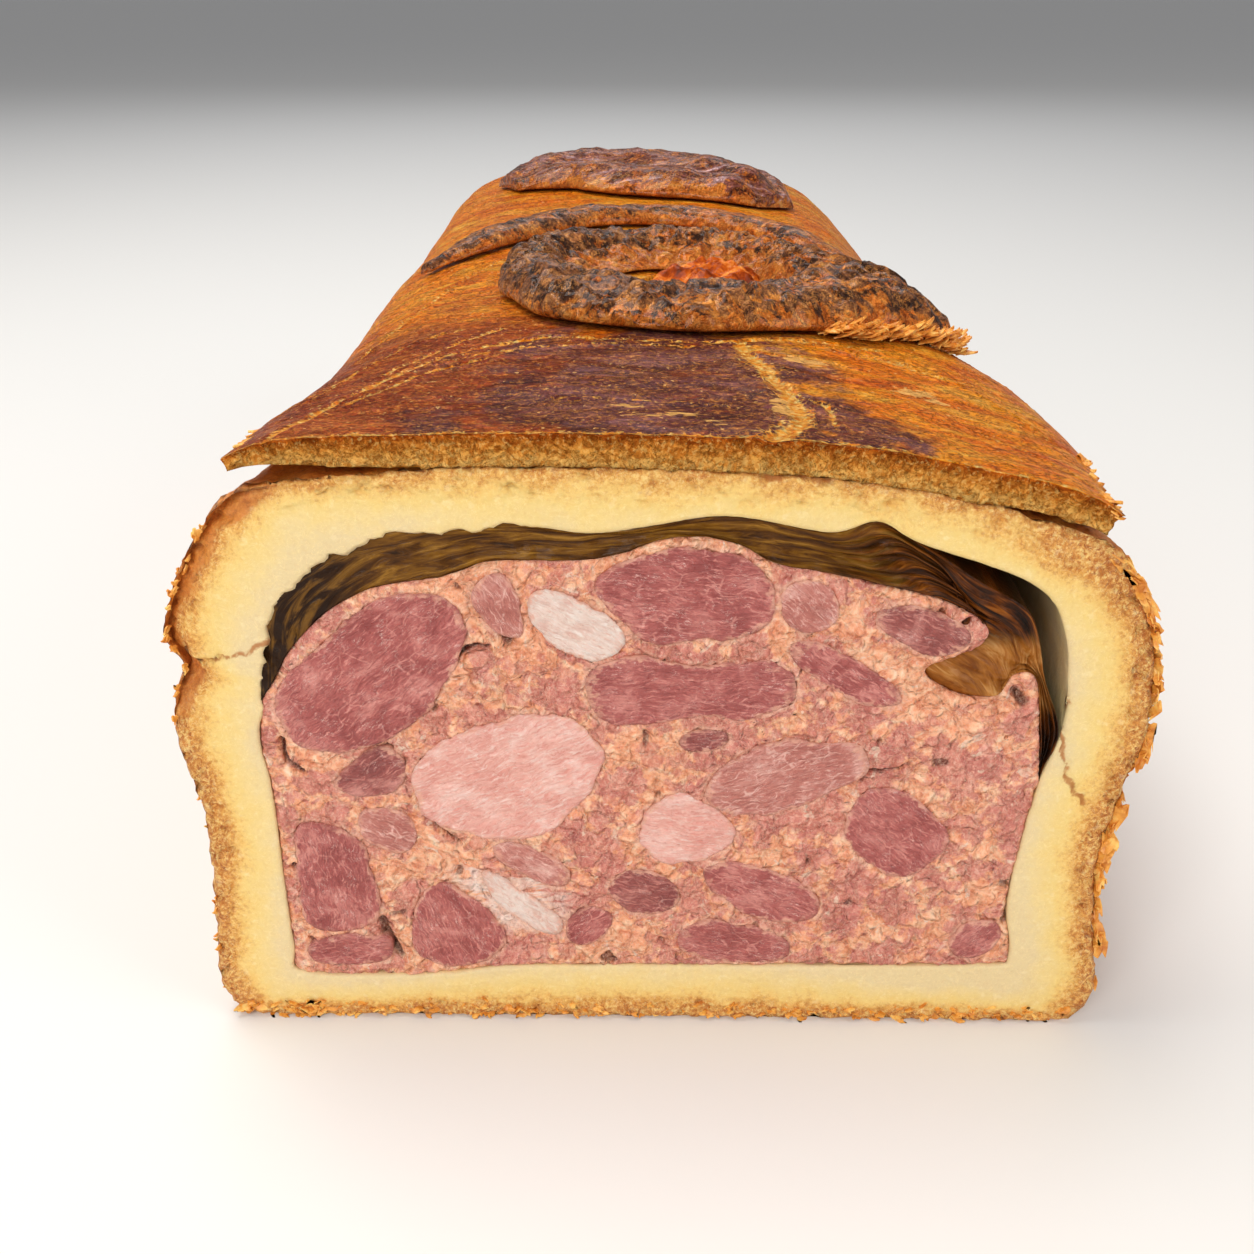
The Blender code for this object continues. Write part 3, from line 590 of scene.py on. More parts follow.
# Golden splits in plan, as (x, distance behind the cut), with the half width in millimetres
LID_SPLITS = [([(-0.0369, 0.0), (-0.0351, 0.0071), (-0.0320, 0.0160), (-0.0280, 0.0234), (-0.0243, 0.0283),
                (-0.0170, 0.0337), (-0.0114, 0.0366)], 0.55),
              ([(-0.0313, 0.0130), (-0.0255, 0.0216), (-0.0196, 0.0258), (-0.0146, 0.0326)], 0.35),
              ([(-0.0299, 0.0248), (-0.0249, 0.0319), (-0.0188, 0.0401)], 0.4),
              ([(0.0093, 0.0346), (0.0104, 0.0275), (0.0119, 0.0215), (0.0132, 0.0139), (0.0134, 0.0058),
                (0.0104, 0.0004)], 1.5),
              ([(0.0119, 0.0215), (0.0143, 0.0143), (0.0167, 0.0111), (0.0167, 0.0053)], 0.45),
              ([(-0.0114, 0.0357), (-0.0021, 0.0341), (0.0072, 0.0341), (0.0168, 0.0373), (0.0266, 0.0389)], 0.4),
              ([(-0.0373, 0.0165), (-0.0356, 0.0231), (-0.0338, 0.0305)], 0.3),
              ([(-0.0338, 0.0496), (-0.0296, 0.0652), (-0.0231, 0.0824), (-0.0151, 0.0989)], 0.35),
              ([(0.0229, 0.0385), (0.0304, 0.0336), (0.0372, 0.0271), (0.0421, 0.0194)], 0.3),
              ([(0.0376, 0.0564), (0.0434, 0.0464), (0.0460, 0.0370)], 0.35),
              ([(-0.0105, 0.0116), (-0.0040, 0.0111), (0.0030, 0.0104), (0.0079, 0.0098)], 0.18),
              ([(-0.0430, 0.0060), (-0.0400, 0.0150), (-0.0360, 0.0260), (-0.0300, 0.0360), (-0.0230, 0.0420)], 0.30),
              ([(-0.0245, 0.0255), (-0.0180, 0.0295), (-0.0110, 0.0318), (-0.0040, 0.0322), (0.0040, 0.0318)], 0.28),
              ([(0.0160, 0.0370), (0.0215, 0.0355), (0.0270, 0.0345), (0.0330, 0.0310)], 0.40),
              ([(0.0100, 0.0300), (0.0130, 0.0290), (0.0165, 0.0300), (0.0200, 0.0290)], 0.35),
              ([(0.0330, 0.0130), (0.0390, 0.0090), (0.0440, 0.0040)], 0.30),
              ([(-0.0360, 0.0380), (-0.0340, 0.0480), (-0.0300, 0.0600)], 0.30),
              ([(0.0300, 0.0760), (0.0270, 0.0900), (0.0230, 0.1080)], 0.45),
              ([(0.0340, 0.0900), (0.0330, 0.1100), (0.0300, 0.1300)], 0.40)]
lid_split = near_lines([line for line, width in LID_SPLITS], 0.0003)
# Pale scuffs on the glaze in plan: x, distance behind the cut, half length, half width
LID_SCUFFS = [(-0.0002, 0.0062, 0.0042, 0.0010), (0.0042, 0.0042, 0.0026, 0.0008), (0.0280, 0.0220, 0.0030, 0.0022),
              (0.0165, 0.0285, 0.0022, 0.0018), (-0.0035, 0.0090, 0.0024, 0.0006), (0.0120, 0.0100, 0.0012, 0.0030)]


def lid_frame(u, y):
    """Underside and top of the lid at the share u across it, at y."""
    behind = y - FRONT_Y
    wrap = ease(behind / EAVE_DEPTH)
    first = 0.104 * (1 - wrap)
    last = 1 - 0.078 * (1 - wrap)
    place = (first + (last - first) * u) * (len(LID_BED) - 1)
    k = min(int(place), len(LID_BED) - 2)
    p = LID_BED[k].lerp(LID_BED[k + 1], place - k)
    n = LID_NORMALS[k].lerp(LID_NORMALS[k + 1], place - k).normalized()
    free = (1 - wrap) * (0.0016 * hill(u, 0.0, 0.11) + 0.0013 * ease((u - 0.84) / 0.16))
    edge = abs(2 * u - 1) ** 7
    thick = LID_THICKNESS * (1 - (0.62 if u < 0.5 else 0.30) * edge)
    low = on_crust(p, n, LID_GAP + free, y)
    high = on_crust(p, n, LID_GAP + free + thick, y)
    along = Vector((n.y, 0.0, -n.x))
    return low, high, along, edge


def lid_point(u, y, up):
    """A point of the lid: up is 0 on its underside and 1 on its glazed top."""
    low, high, along, edge = lid_frame(u, y)
    q = low.lerp(high, up)
    normal = (high - low).normalized()
    behind = y - FRONT_Y
    saw = 0.0
    right = ease((u - 0.955) / 0.045)
    left = ease((0.045 - u) / 0.045)
    if right or left:
        tooth = 1.5 * abs(noise.noise(Vector((behind * 420, 5.0, 0.0))))
        tooth += 0.5 * abs(noise.noise(Vector((behind * 1300, 8.0, 0.0))))
        saw = 0.0012 * (tooth - 0.5) * (right * ease(1.6 - behind / 0.05) - left * 0.35)
    if up > 0.5:
        spot = Vector((q.x, y, 0.0))
        wave = 0.00016 * grain(Vector((q.x * 60, y * 160, 3.0)), 1.0, 3) + 0.00012 * grain(spot, 420)
        away, number = lid_split(q.x, behind)
        width = LID_SPLITS[number][1] / MILLIMETRES
        lips = 0.00016 * hill(away, width * 1.5, width) - 0.00022 * hill(away, 0, width * 0.6)
        wave += lips * (1 + grain(spot, 300))
        q += normal * wave * (1 - edge) * (up * 2 - 1)
    return q + along * saw * (0.7 + 0.3 * up)


def lid_height(x, y):
    """Height of the lid's top over the plan place (x, y)."""
    low, high = 0.0, 1.0
    for _ in range(16):
        middle = (low + high) / 2
        if lid_frame(middle, y)[1].x < x:
            low = middle
        else:
            high = middle
    return lid_frame((low + high) / 2, y)[1].z


def lid_body():
    """Fine top and cut face, coarse underside, with the vent cut through both."""
    columns = 256
    front_rows = 9
    lengths = [0.0002]
    while lengths[-1] < 0.1988:
        behind = lengths[-1]
        lengths.append(behind + (0.00042 if behind < 0.045 else 0.0007 if behind < 0.11 else 0.0016))
    rows = front_rows + len(lengths)
    bm, places, layers = cells(columns, rows - 1, ("cut", "split", "scuff"))
    crumb, split, scuff = layers["cut"], layers["split"], layers["scuff"]
    for vert, i, j in places:
        u = i / columns
        if j < front_rows:
            up = j / front_rows
            q = lid_point(u, FRONT_Y + 0.0002, up)
            spot = Vector((q.x, 1.0, q.z))
            rough = grain(spot, 800, 4)
            rim = ease((up - 0.8) / 0.2)
            q.z -= 0.00045 * ease((0.3 - up) / 0.3) * abs(noise.noise(spot * 520)) * ease((q.x + 0.030) / 0.01)
            pit = 0.0004 * ease((grain(spot, 500, 2) - 0.25) / 0.2)
            q.y = FRONT_Y + 0.00035 + 0.00030 * rough * (1 - rim) + pit - 0.0001 * rim
            vert.co = q
            vert[crumb] = 1 - up * 0.96
            vert[split] = 5.0
        else:
            behind = lengths[j - front_rows]
            q = lid_point(u, FRONT_Y + behind, 1.0)
            vert.co = q
            vert[crumb] = 0.0
            away, number = lid_split(q.x + 0.0004 * noise.noise(q * 900),
                                     behind + 0.0004 * noise.noise(q * 900 + Vector((5, 5, 5))))
            rim = behind / (0.0005 + 0.0005 * abs(noise.noise(q * 700)))
            vert[split] = min(away * MILLIMETRES / LID_SPLITS[number][1], rim, 5.0)
            marks = [((q.x - x) / a) ** 2 + ((behind - y) / b) ** 2 for x, y, a, b in LID_SCUFFS]
            vert[scuff] = max(0.0, 1.0 - min(marks) * 0.6)
    under, under_places, _ = cells(64, 60)
    mesh = bpy.data.meshes.new("under")
    for vert, i, j in under_places:
        vert.co = lid_point(i / 64, FRONT_Y + 0.0004 + 0.1984 * j / 60, 0.0)
    under.to_mesh(mesh)
    under.free()
    bm.from_mesh(mesh)
    bpy.data.meshes.remove(mesh)
    hole = [f for f in bm.faces if in_vent(f.calc_center_median().x, f.calc_center_median().y) < 1]
    bmesh.ops.delete(bm, geom=hole, context="FACES")
    rims = [v for v in bm.verts if v.is_boundary and in_vent(v.co.x, v.co.y) < 1.6]
    for v in rims:
        scale = 1 / math.sqrt(in_vent(v.co.x, v.co.y))
        v.co.x = VENT[0] + (v.co.x - VENT[0]) * scale
        v.co.y = VENT[1] + (v.co.y - VENT[1]) * scale
    inner = [e for e in bm.edges if e.is_boundary and all(in_vent(v.co.x, v.co.y) < 1.6 for v in e.verts)]
    round_vent = set(inner)
    outer = [e for e in bm.edges if e.is_boundary and e not in round_vent]
    bmesh.ops.bridge_loops(bm, edges=inner)
    bmesh.ops.bridge_loops(bm, edges=outer)
    return bm


def glaze_finish():
    """Egg-washed crust: orange-brown with a purple-brown heart and golden splits, plus a painted sheen on the heart,
    painted glints and painted shade in the wrinkles.
    """
    f = Finish("glazed_crust", Coat_Roughness=0.10, Specular_IOR_Level=0.03)
    x, y = f.axis("X"), f.axis("Y")
    mottle = f.noise(120, 6, 0.68, 0.6, f.stretch((1.0, 1.9, 1.0)))
    orange = f.ramp(mottle, [(0.30, (208, 86, 8)), (0.43, (246, 122, 14)), (0.55, (255, 156, 28)),
                             (0.70, (255, 194, 76))])
    brown = f.ramp(mottle, [(0.30, (112, 36, 10)), (0.48, (158, 60, 18)), (0.62, (190, 84, 30)),
                            (0.74, (226, 122, 48))])
    dark = f.ramp(mottle, [(0.32, (56, 22, 26)), (0.5, (100, 46, 48)), (0.66, (140, 76, 70)),
                           (0.76, (184, 112, 92))])
    drift = f.level(f.noise(75, 5, 0.65), 0.25, 0.75, -0.014, 0.014)
    left = f.level(f.sum(x, drift), 0.014, -0.008)
    near = f.level(f.sum(y, drift), -0.034, -0.066)
    colour = f.mix(f.times(left, near), orange, brown)
    heart_x = f.level(f.apart(x, drift), 0.023, 0.013)
    heart_y = f.level(f.sum(y, drift), -0.056, -0.066)
    colour = f.mix(f.times(heart_x, heart_y), colour, dark)
    # Painted sheen: pale mauve streaks over the dark heart stand for the glaze's reflection.
    painted_sheen = f.level(f.noise(70, 4, 0.6, 0.6, f.stretch((0.6, 2.4, 1.0))), 0.50, 0.64, 0.0, 0.42)
    painted_sheen = f.times(painted_sheen, f.times(heart_x, heart_y))
    colour = f.mix(painted_sheen, colour, (172, 118, 122))
    blot = f.level(f.noise(170, 5, 0.65, 0.5, f.stretch((1.0, 2.2, 1.0))), 0.55, 0.66, 0.0, 0.60)
    colour = f.mix(blot, colour, brown)
    scorched = f.level(f.noise(95, 5, 0.7, 0.6, f.stretch((0.8, 2.4, 1.0))), 0.61, 0.69, 0.0, 0.50)
    colour = f.mix(scorched, colour, dark)
    fine = f.noise(760, 6, 0.72, 1.2, f.stretch((1.0, 1.7, 1.0)))
    flecks = f.mix(f.level(mottle, 0.4, 0.6), (206, 112, 50), (252, 168, 72))
    colour = f.mix(f.level(fine, 0.52, 0.64, 0.0, 0.55), colour, flecks)
    wisps = f.lines(330, 5, 0.62, 2.4, f.stretch((1.0, 2.0, 1.0)))
    scattered = f.level(f.noise(120, 3), 0.42, 0.60, 0.05, 0.60)
    colour = f.mix(f.times(f.level(wisps, 0.014, 0.003), scattered), colour, (250, 172, 84))
    wrinkle = f.lines(420, 5, 0.6, 1.6, f.stretch((1.0, 1.5, 1.0)))
    # Painted shade: the wrinkle lines are darkened as if their creases were in shadow.
    colour = f.mix(f.level(wrinkle, 0.030, 0.004, 0.0, 0.50), colour, (76, 28, 10))
    fibres = f.voronoi(720, "DISTANCE_TO_EDGE", source=f.warped(600, 0.0016))
    threads = f.level(f.sum(fibres, f.level(f.noise(500, 3), 0.4, 0.6, 0.06, -0.02)), 0.10, 0.03)
    colour = f.grit(colour, 1700, 0.40, (112, 38, 8), (255, 166, 66))
    # Painted glints: tiny pale gold dots stand for specular sparkle on the glaze.
    dots = f.level(f.noise(1500, 1, 0.5), 0.70, 0.75, 0.0, 0.85)
    colour = f.mix(dots, colour, (255, 196, 116))
    split = f.attribute("split")
    jagged = f.sum(split, f.level(f.noise(1500, 4), 0.25, 0.75, -0.30, 0.30))
    split_colour = f.ramp(f.noise(1300, 3), [(0.35, (232, 124, 24)), (0.50, (248, 168, 62)),
                                             (0.65, (255, 216, 128))])
    broken = f.level(f.noise(260, 3), 0.32, 0.46, 0.80, 1.0)
    core = f.times(f.level(jagged, 0.85, 0.45), broken)
    zone = f.times(f.level(jagged, 1.7, 0.9), threads)
    colour = f.mix(f.math("MAXIMUM", core, zone), colour, split_colour)
    smear = f.noise(700, 4, 0.6, 0.6, f.stretch((0.5, 1.6, 1.0)))
    scuffed = f.sum(f.attribute("scuff"), f.level(smear, 0.3, 0.7, -0.55, 0.55))
    colour = f.mix(f.level(scuffed, 0.62, 0.74, 0.0, 0.9), colour, (255, 190, 104))
    cut = f.attribute("cut")
    crumb = f.noise(900, 5, 0.74, 1.8)
    deep = f.ramp(cut, [(0.0, (166, 64, 6)), (0.25, (146, 66, 14)), (0.5, (196, 110, 32)), (1.0, (226, 150, 62))])
    pale = f.ramp(cut, [(0.0, (204, 90, 14)), (0.25, (214, 128, 44)), (0.6, (240, 170, 78)), (1.0, (244, 196, 112))])
    crumb_colour = f.mix(f.level(crumb, 0.40, 0.60), deep, pale)
    crumb_colour = f.grit(crumb_colour, 1900, 0.5, (140, 70, 18), (250, 200, 116))
    colour = f.mix(f.level(cut, 0.02, 0.07), colour, crumb_colour)
    f.to("Base Color", colour)
    f.to("Roughness", f.level(cut, 0.0, 0.1, 0.36, 0.80))
    f.to("Coat Weight", f.level(cut, 0.0, 0.1, 0.06, 0.0))
    creased = f.bump(f.level(wrinkle, 0.0, 0.05), 0.00040, 0.8)
    f.to("Normal", f.bump(fine, 0.00075, 0.9, creased))
    return f.material


show("crust_lid", lid_body(), glaze_finish(), ["pastry_lid"])

# Ornaments. On the real lid lie dough trimmings: a roll round the steam vent, a cord behind it and a broad leaf.
# They stand proudest, so the oven blackened their crests; their flanks stayed golden.
COLLAR_OUTER = {0: .0225, 30: .0190, 90: .0200, 135: .0222, 165: .0243, 208: .0252, 235: .0282, 270: .0288,
                300: .0288, 318: .0302, 343: .0360}
COLLAR_INNER = {0: .0125, 90: .0135, 180: .0165, 270: .0155, 328: .0165}
COLLAR_HEIGHT = 0.0042
CORD_ROUTE = [(-.0345, .0845), (-.0310, .0885), (-.0240, .0970), (-.0120, .1100), (.0010, .1150), (.0130, .1090),
              (.0230, .0990), (.0310, .0910), (.0350, .0870)]
CORD_WIDTH = 0.0075
CORD_HEIGHT = 0.0026
LEAF_ROUTE = [(-.0290, .1580), (-.0160, .1630), (.0, .1620), (.0125, .1545), (.0235, .1440)]
LEAF_WIDTH = 0.0380
LEAF_HEIGHT = 0.0057


def round_table(table, angle):
    """Value at an angle in degrees from a ring of named angles, eased between them."""
    keys = sorted(table)
    angle %= 360
    for i, low in enumerate(keys):
        high = keys[(i + 1) % len(keys)]
        span = (high - low) % 360
        if (angle - low) % 360 <= span:
            return table[low] + (table[high] - table[low]) * ease((angle - low) % 360 / span)
    return table[keys[0]]


def burnt_finish(name, burnt_stops, grainwise=(1.0, 1.0, 1.0)):
    """Dough scorched on its crests, with golden flanks."""
    f = Finish(name, Specular_IOR_Level=0.06, Coat_Weight=0.24, Coat_Roughness=0.08)
    scorch = f.attribute("scorch")
    mottle = f.noise(300, 6, 0.70, 1.2, f.stretch(grainwise))
    burnt = f.ramp(mottle, list(zip((0.32, 0.46, 0.56, 0.68), burnt_stops)))
    gold = f.ramp(mottle, [(0.30, (132, 56, 14)), (0.46, (196, 100, 30)), (0.58, (224, 136, 52)),
                           (0.70, (244, 180, 100))])
    share = f.sum(scorch, f.level(f.noise(260, 6, 0.78, 1.2), 0.32, 0.68, -0.60, 0.60))
    colour = f.mix(f.level(share, 0.42, 0.66), gold, burnt)
    lines = f.lines(520, 5, 0.6, 1.8)
    thin = f.level(f.noise(210, 3), 0.46, 0.58)
    colour = f.mix(f.times(f.level(lines, 0.022, 0.003, 0.0, 0.75), thin), colour, (222, 148, 76))
    f.to("Base Color", f.grit(colour, 1500, 0.40, (36, 18, 10), (238, 160, 84)))
    f.to("Roughness", f.level(mottle, 0.35, 0.65, 0.18, 0.42))
    creased = f.bump(f.level(lines, 0.0, 0.10), 0.00045, 0.8)
    f.to("Normal", f.bump(mottle, 0.00070, 0.7, creased))
    return f.material


BURNT = burnt_finish("scorched_dough", [(26, 13, 7), (78, 44, 24), (146, 88, 50), (212, 146, 88)])
# The leaf's palest stop, a mauve grey, is a painted sheen on its scorched crust.
LEAF_CRUST = burnt_finish("leaf_crust", [(38, 14, 8), (104, 46, 26), (156, 92, 80), (216, 178, 182)],
                          (0.36, 1.4, 1.0))
steps, around = 420, 56
section = curve_through([(-0.95, -0.02), (-0.5, -0.03), (0.5, 0.0), (1.0, 0.0), (1.02, 0.45), (0.80, 0.90),
                         (0.45, 1.0), (0.15, 0.84), (0.0, 0.60), (-0.35, 0.40), (-0.75, 0.16)], 0.01, closed=True)
section = [section[int(k * len(section) / around)] for k in range(around)]
bm, places, layers = cells(steps, around, ("scorch",))
scorch = layers["scorch"]
plan_heights = {}
for vert, i, j in places:
    degrees = 360 * (i % steps) / steps
    c, s = math.cos(math.radians(degrees)), math.sin(math.radians(degrees))
    outer, inner = round_table(COLLAR_OUTER, degrees), round_table(COLLAR_INNER, degrees)
    left = ease(-c * 1.4)
    notch = 0.06 * math.sin(math.radians(degrees) * 17) + 0.05 * noise.noise(Vector((c * 9, s * 9, 2.0)))
    notch = 1 + left * notch
    height = COLLAR_HEIGHT * (1 + 0.12 * noise.noise(Vector((c * 2, s * 2, 7.0)))) * notch
    height *= 1 + 0.42 * hill((degrees - 348 + 180) % 360 - 180, 0, 30)
    across, up = section[j % around]
    slope = 0.0024 + 0.0048 * ease((s - 0.35 * c + 0.3) / 0.8)
    reach = inner + (outer * (0.97 + 0.03 * notch) - inner) * across if across > 0 else inner + slope * across
    x, y = VENT[0] + c * reach, VENT[1] + s * reach
    key = (i % steps, j % around)
    if key not in plan_heights:
        plan_heights[key] = lid_height(x, y) + LID_GAP
    q = Vector((x, y, plan_heights[key] + up * height))
    bumpy = Vector((x, y, up * 0.004))
    near = noise.voronoi(Vector((x, y, up * 0.006)) * 270 + Vector((noise.noise(bumpy * 400), 0.0, 0.0)) * 0.5)[0]
    scale = min((near[1] - near[0]) * 2.4, 1.0)
    relief = 0.00050 * grain(bumpy, 240, 4) + 0.00025 * abs(grain(bumpy, 700, 3)) + 0.00085 * ease(scale) - 0.0006
    q.z += relief * ease(up * 3)
    vert.co = q
    right = ease(c * 1.2)
    vert[scorch] = 0.05 + 0.75 * ease(up * 1.5 - 0.1) + 0.40 * left * ease(up * 4) - 0.30 * ease(s) * right
    vert[scorch] -= 0.45 * ease(-across * 6 + 0.4) + 0.55 * (1 - ease(scale * 2.2)) * ease(up * 3) - 0.12
bmesh.ops.remove_doubles(bm, verts=bm.verts, dist=2e-6)
show("collar_roll", bm, BURNT, ["vent_collar"])

# Juices. In the real loaf they boiled up in the vent and baked to glossy red-brown lumps.
# They lie inside the collar and sink a little into the lid.
lumps, places, _ = cells(64, 64)
for vert, i, j in places:
    a, b = i / 32 - 1, j / 32 - 1
    angle = math.atan2(b, a)
    share = max(abs(a), abs(b))
    x = VENT[0] + 0.0040 + 0.0086 * share * math.cos(angle)
    y = VENT[1] + 0.0020 + 0.0074 * share * math.sin(angle)
    rise = 0.0030 * (1 - share ** 3) * (0.75 + 0.9 * grain(Vector((x, y * 1.6, 3.0)), 210, 3))
    vert.co = Vector((x, y, lid_height(x, y) - 0.0004 + rise))
flat_side = bmesh.ops.extrude_face_region(lumps, geom=list(lumps.faces))["geom"]
for item in flat_side:
    if isinstance(item, bmesh.types.BMVert):
        item.co.z = min(item.co.z, lid_height(item.co.x, item.co.y)) - 0.0010
f = Finish("baked_juices", Roughness=0.34, Specular_IOR_Level=0.05, Coat_Weight=0.14, Coat_Roughness=0.08)
boiled = f.noise(330, 5, 0.65, 1.2)
f.to("Base Color", f.ramp(boiled, [(0.32, (80, 26, 2)), (0.46, (150, 58, 8)), (0.56, (200, 92, 18)),
                                   (0.70, (236, 150, 66))]))
f.to("Normal", f.bump(boiled, 0.0006, 0.6))
show("vent_juices", lumps, f.material, ())


def band_rows(route, width_at, height_at, shape, spacing, around, fade):
    """Rows round a strip of dough laid along a plan route on the lid, its scorch fading along it."""
    line = curve_through(route, spacing)
    normals = outward(line, False)
    ring_shape = curve_through(shape, 0.004, closed=True)
    ring_shape = [ring_shape[int(k * len(ring_shape) / around)] for k in range(around)]
    rows, burn = [], []
    for i, (p, n) in enumerate(zip(line, normals)):
        share = i / (len(line) - 1)
        ring, marks = [], []
        for across, up in ring_shape:
            x = p.x + n.x * width_at(share) * across
            y = FRONT_Y + p.y + n.y * width_at(share) * across
            wave = 1 + 0.15 * noise.noise(Vector((x * 150, y * 150, 2.0)))
            lift = max(up, 0.0) * height_at(share) * wave
            lift += 0.0003 * grain(Vector((x, y, 0.0)), 380, 4) * ease(up * 3)
            ring.append(Vector((x, y, lid_height(x, y) + LID_GAP + lift)))
            marks.append(0.85 * ease(up * 1.15) - fade * ease((share - 0.25) * 3))
        rows.append(ring)
        burn.append(marks)
    for end, where in ((0, 0), (-1, len(rows))):
        middle = sum(rows[end], Vector()) / around
        rows.insert(where, [middle] * around)
        burn.insert(where, [0.5] * around)
    return rows, {"scorch": burn}


cord_shape = [(-0.5, 0.0), (-0.46, 0.6), (-0.2, 1.0), (0.2, 1.0), (0.46, 0.6), (0.5, 0.0), (0.0, 0.0)]
rows_of_cord = band_rows(CORD_ROUTE, lambda t: CORD_WIDTH * (0.35 + 0.65 * ease(8 * t) * ease(8 * (1 - t))),
                         lambda t: CORD_HEIGHT * (0.5 + 0.5 * ease(6 * t) * ease(6 * (1 - t))), cord_shape,
                         0.0005, 36, 0.45)
show("cord_strip", skin(*rows_of_cord), BURNT, ["pastry_cord"])
leaf_shape = [(-0.5, 0.0), (-0.49, 0.35), (-0.36, 0.78), (-0.2, 0.72), (-0.06, 1.0), (0.08, 0.96), (0.2, 0.70),
              (0.36, 0.74), (0.49, 0.35), (0.5, 0.0), (0.2, 0.0), (-0.2, 0.0)]
rows_of_leaf = band_rows(LEAF_ROUTE,
                         lambda t: LEAF_WIDTH * (0.16 + 0.84 * math.sin(math.pi * min(0.04 + 0.93 * t, 1.0)) ** 0.8),
                         lambda t: LEAF_HEIGHT * (0.45 + 0.55 * ease(5 * t) * ease(9 * (1 - t))), leaf_shape,
                         0.0006, 90, 0.0)
show("leaf_scrap", skin(*rows_of_leaf), LEAF_CRUST, ["leaf_back"])

# Forcemeat. The real filling is coarsely minced pork, cooked to a salmon-pink paste with bits of fat and specks.
# It fills the case, and each piece of meat or fat lies in its own pocket of it.
GAP = 0.0004
STRAIGHT_PART = 0.040
POCKET_OVERLAP = 0.00005
MEAT_TOP = [(-0.0384, 0.0455), (-0.0367, 0.0483), (-0.0323, 0.0526), (-0.0275, 0.0550), (-0.0213, 0.0561),
            (-0.0150, 0.0578), (-0.0060, 0.0581), (0.0000, 0.0600), (0.0040, 0.0604), (0.0080, 0.0595),
            (0.0110, 0.0578), (0.0174, 0.0565), (0.0264, 0.0542), (0.0320, 0.0515), (0.0318, 0.0488),
            (0.0268, 0.0462), (0.0300, 0.0434), (0.0340, 0.0432), (0.0355, 0.0458), (0.0378, 0.0455),
            (0.0388, 0.0420)]
# Cracks and small holes in the filling, as (x, z) lines with their half width
MEAT_CRACKS = [([(-0.0304, 0.0137), (-0.0300, 0.0112), (-0.0289, 0.0090)], 0.00060),
               ([(-0.0203, 0.0473), (-0.0187, 0.0484), (-0.0171, 0.0487)], 0.00030),
               ([(-0.0391, 0.0376), (-0.0388, 0.0350), (-0.0372, 0.0338)], 0.00030),
               ([(0.0362, 0.0436), (0.0367, 0.0431), (0.0371, 0.0424)], 0.00065),
               ([(0.0258, 0.0347), (0.0235, 0.0342), (0.0212, 0.0340), (0.0182, 0.0321)], 0.00020),
               ([(-0.0235, 0.0318), (-0.0245, 0.0280), (-0.0212, 0.0246)], 0.00018)]
meat_crack = near_lines([line for line, width in MEAT_CRACKS])
MEAT_LEFT_Z = 0.0420
MEAT_RIGHT_Z = 0.0330
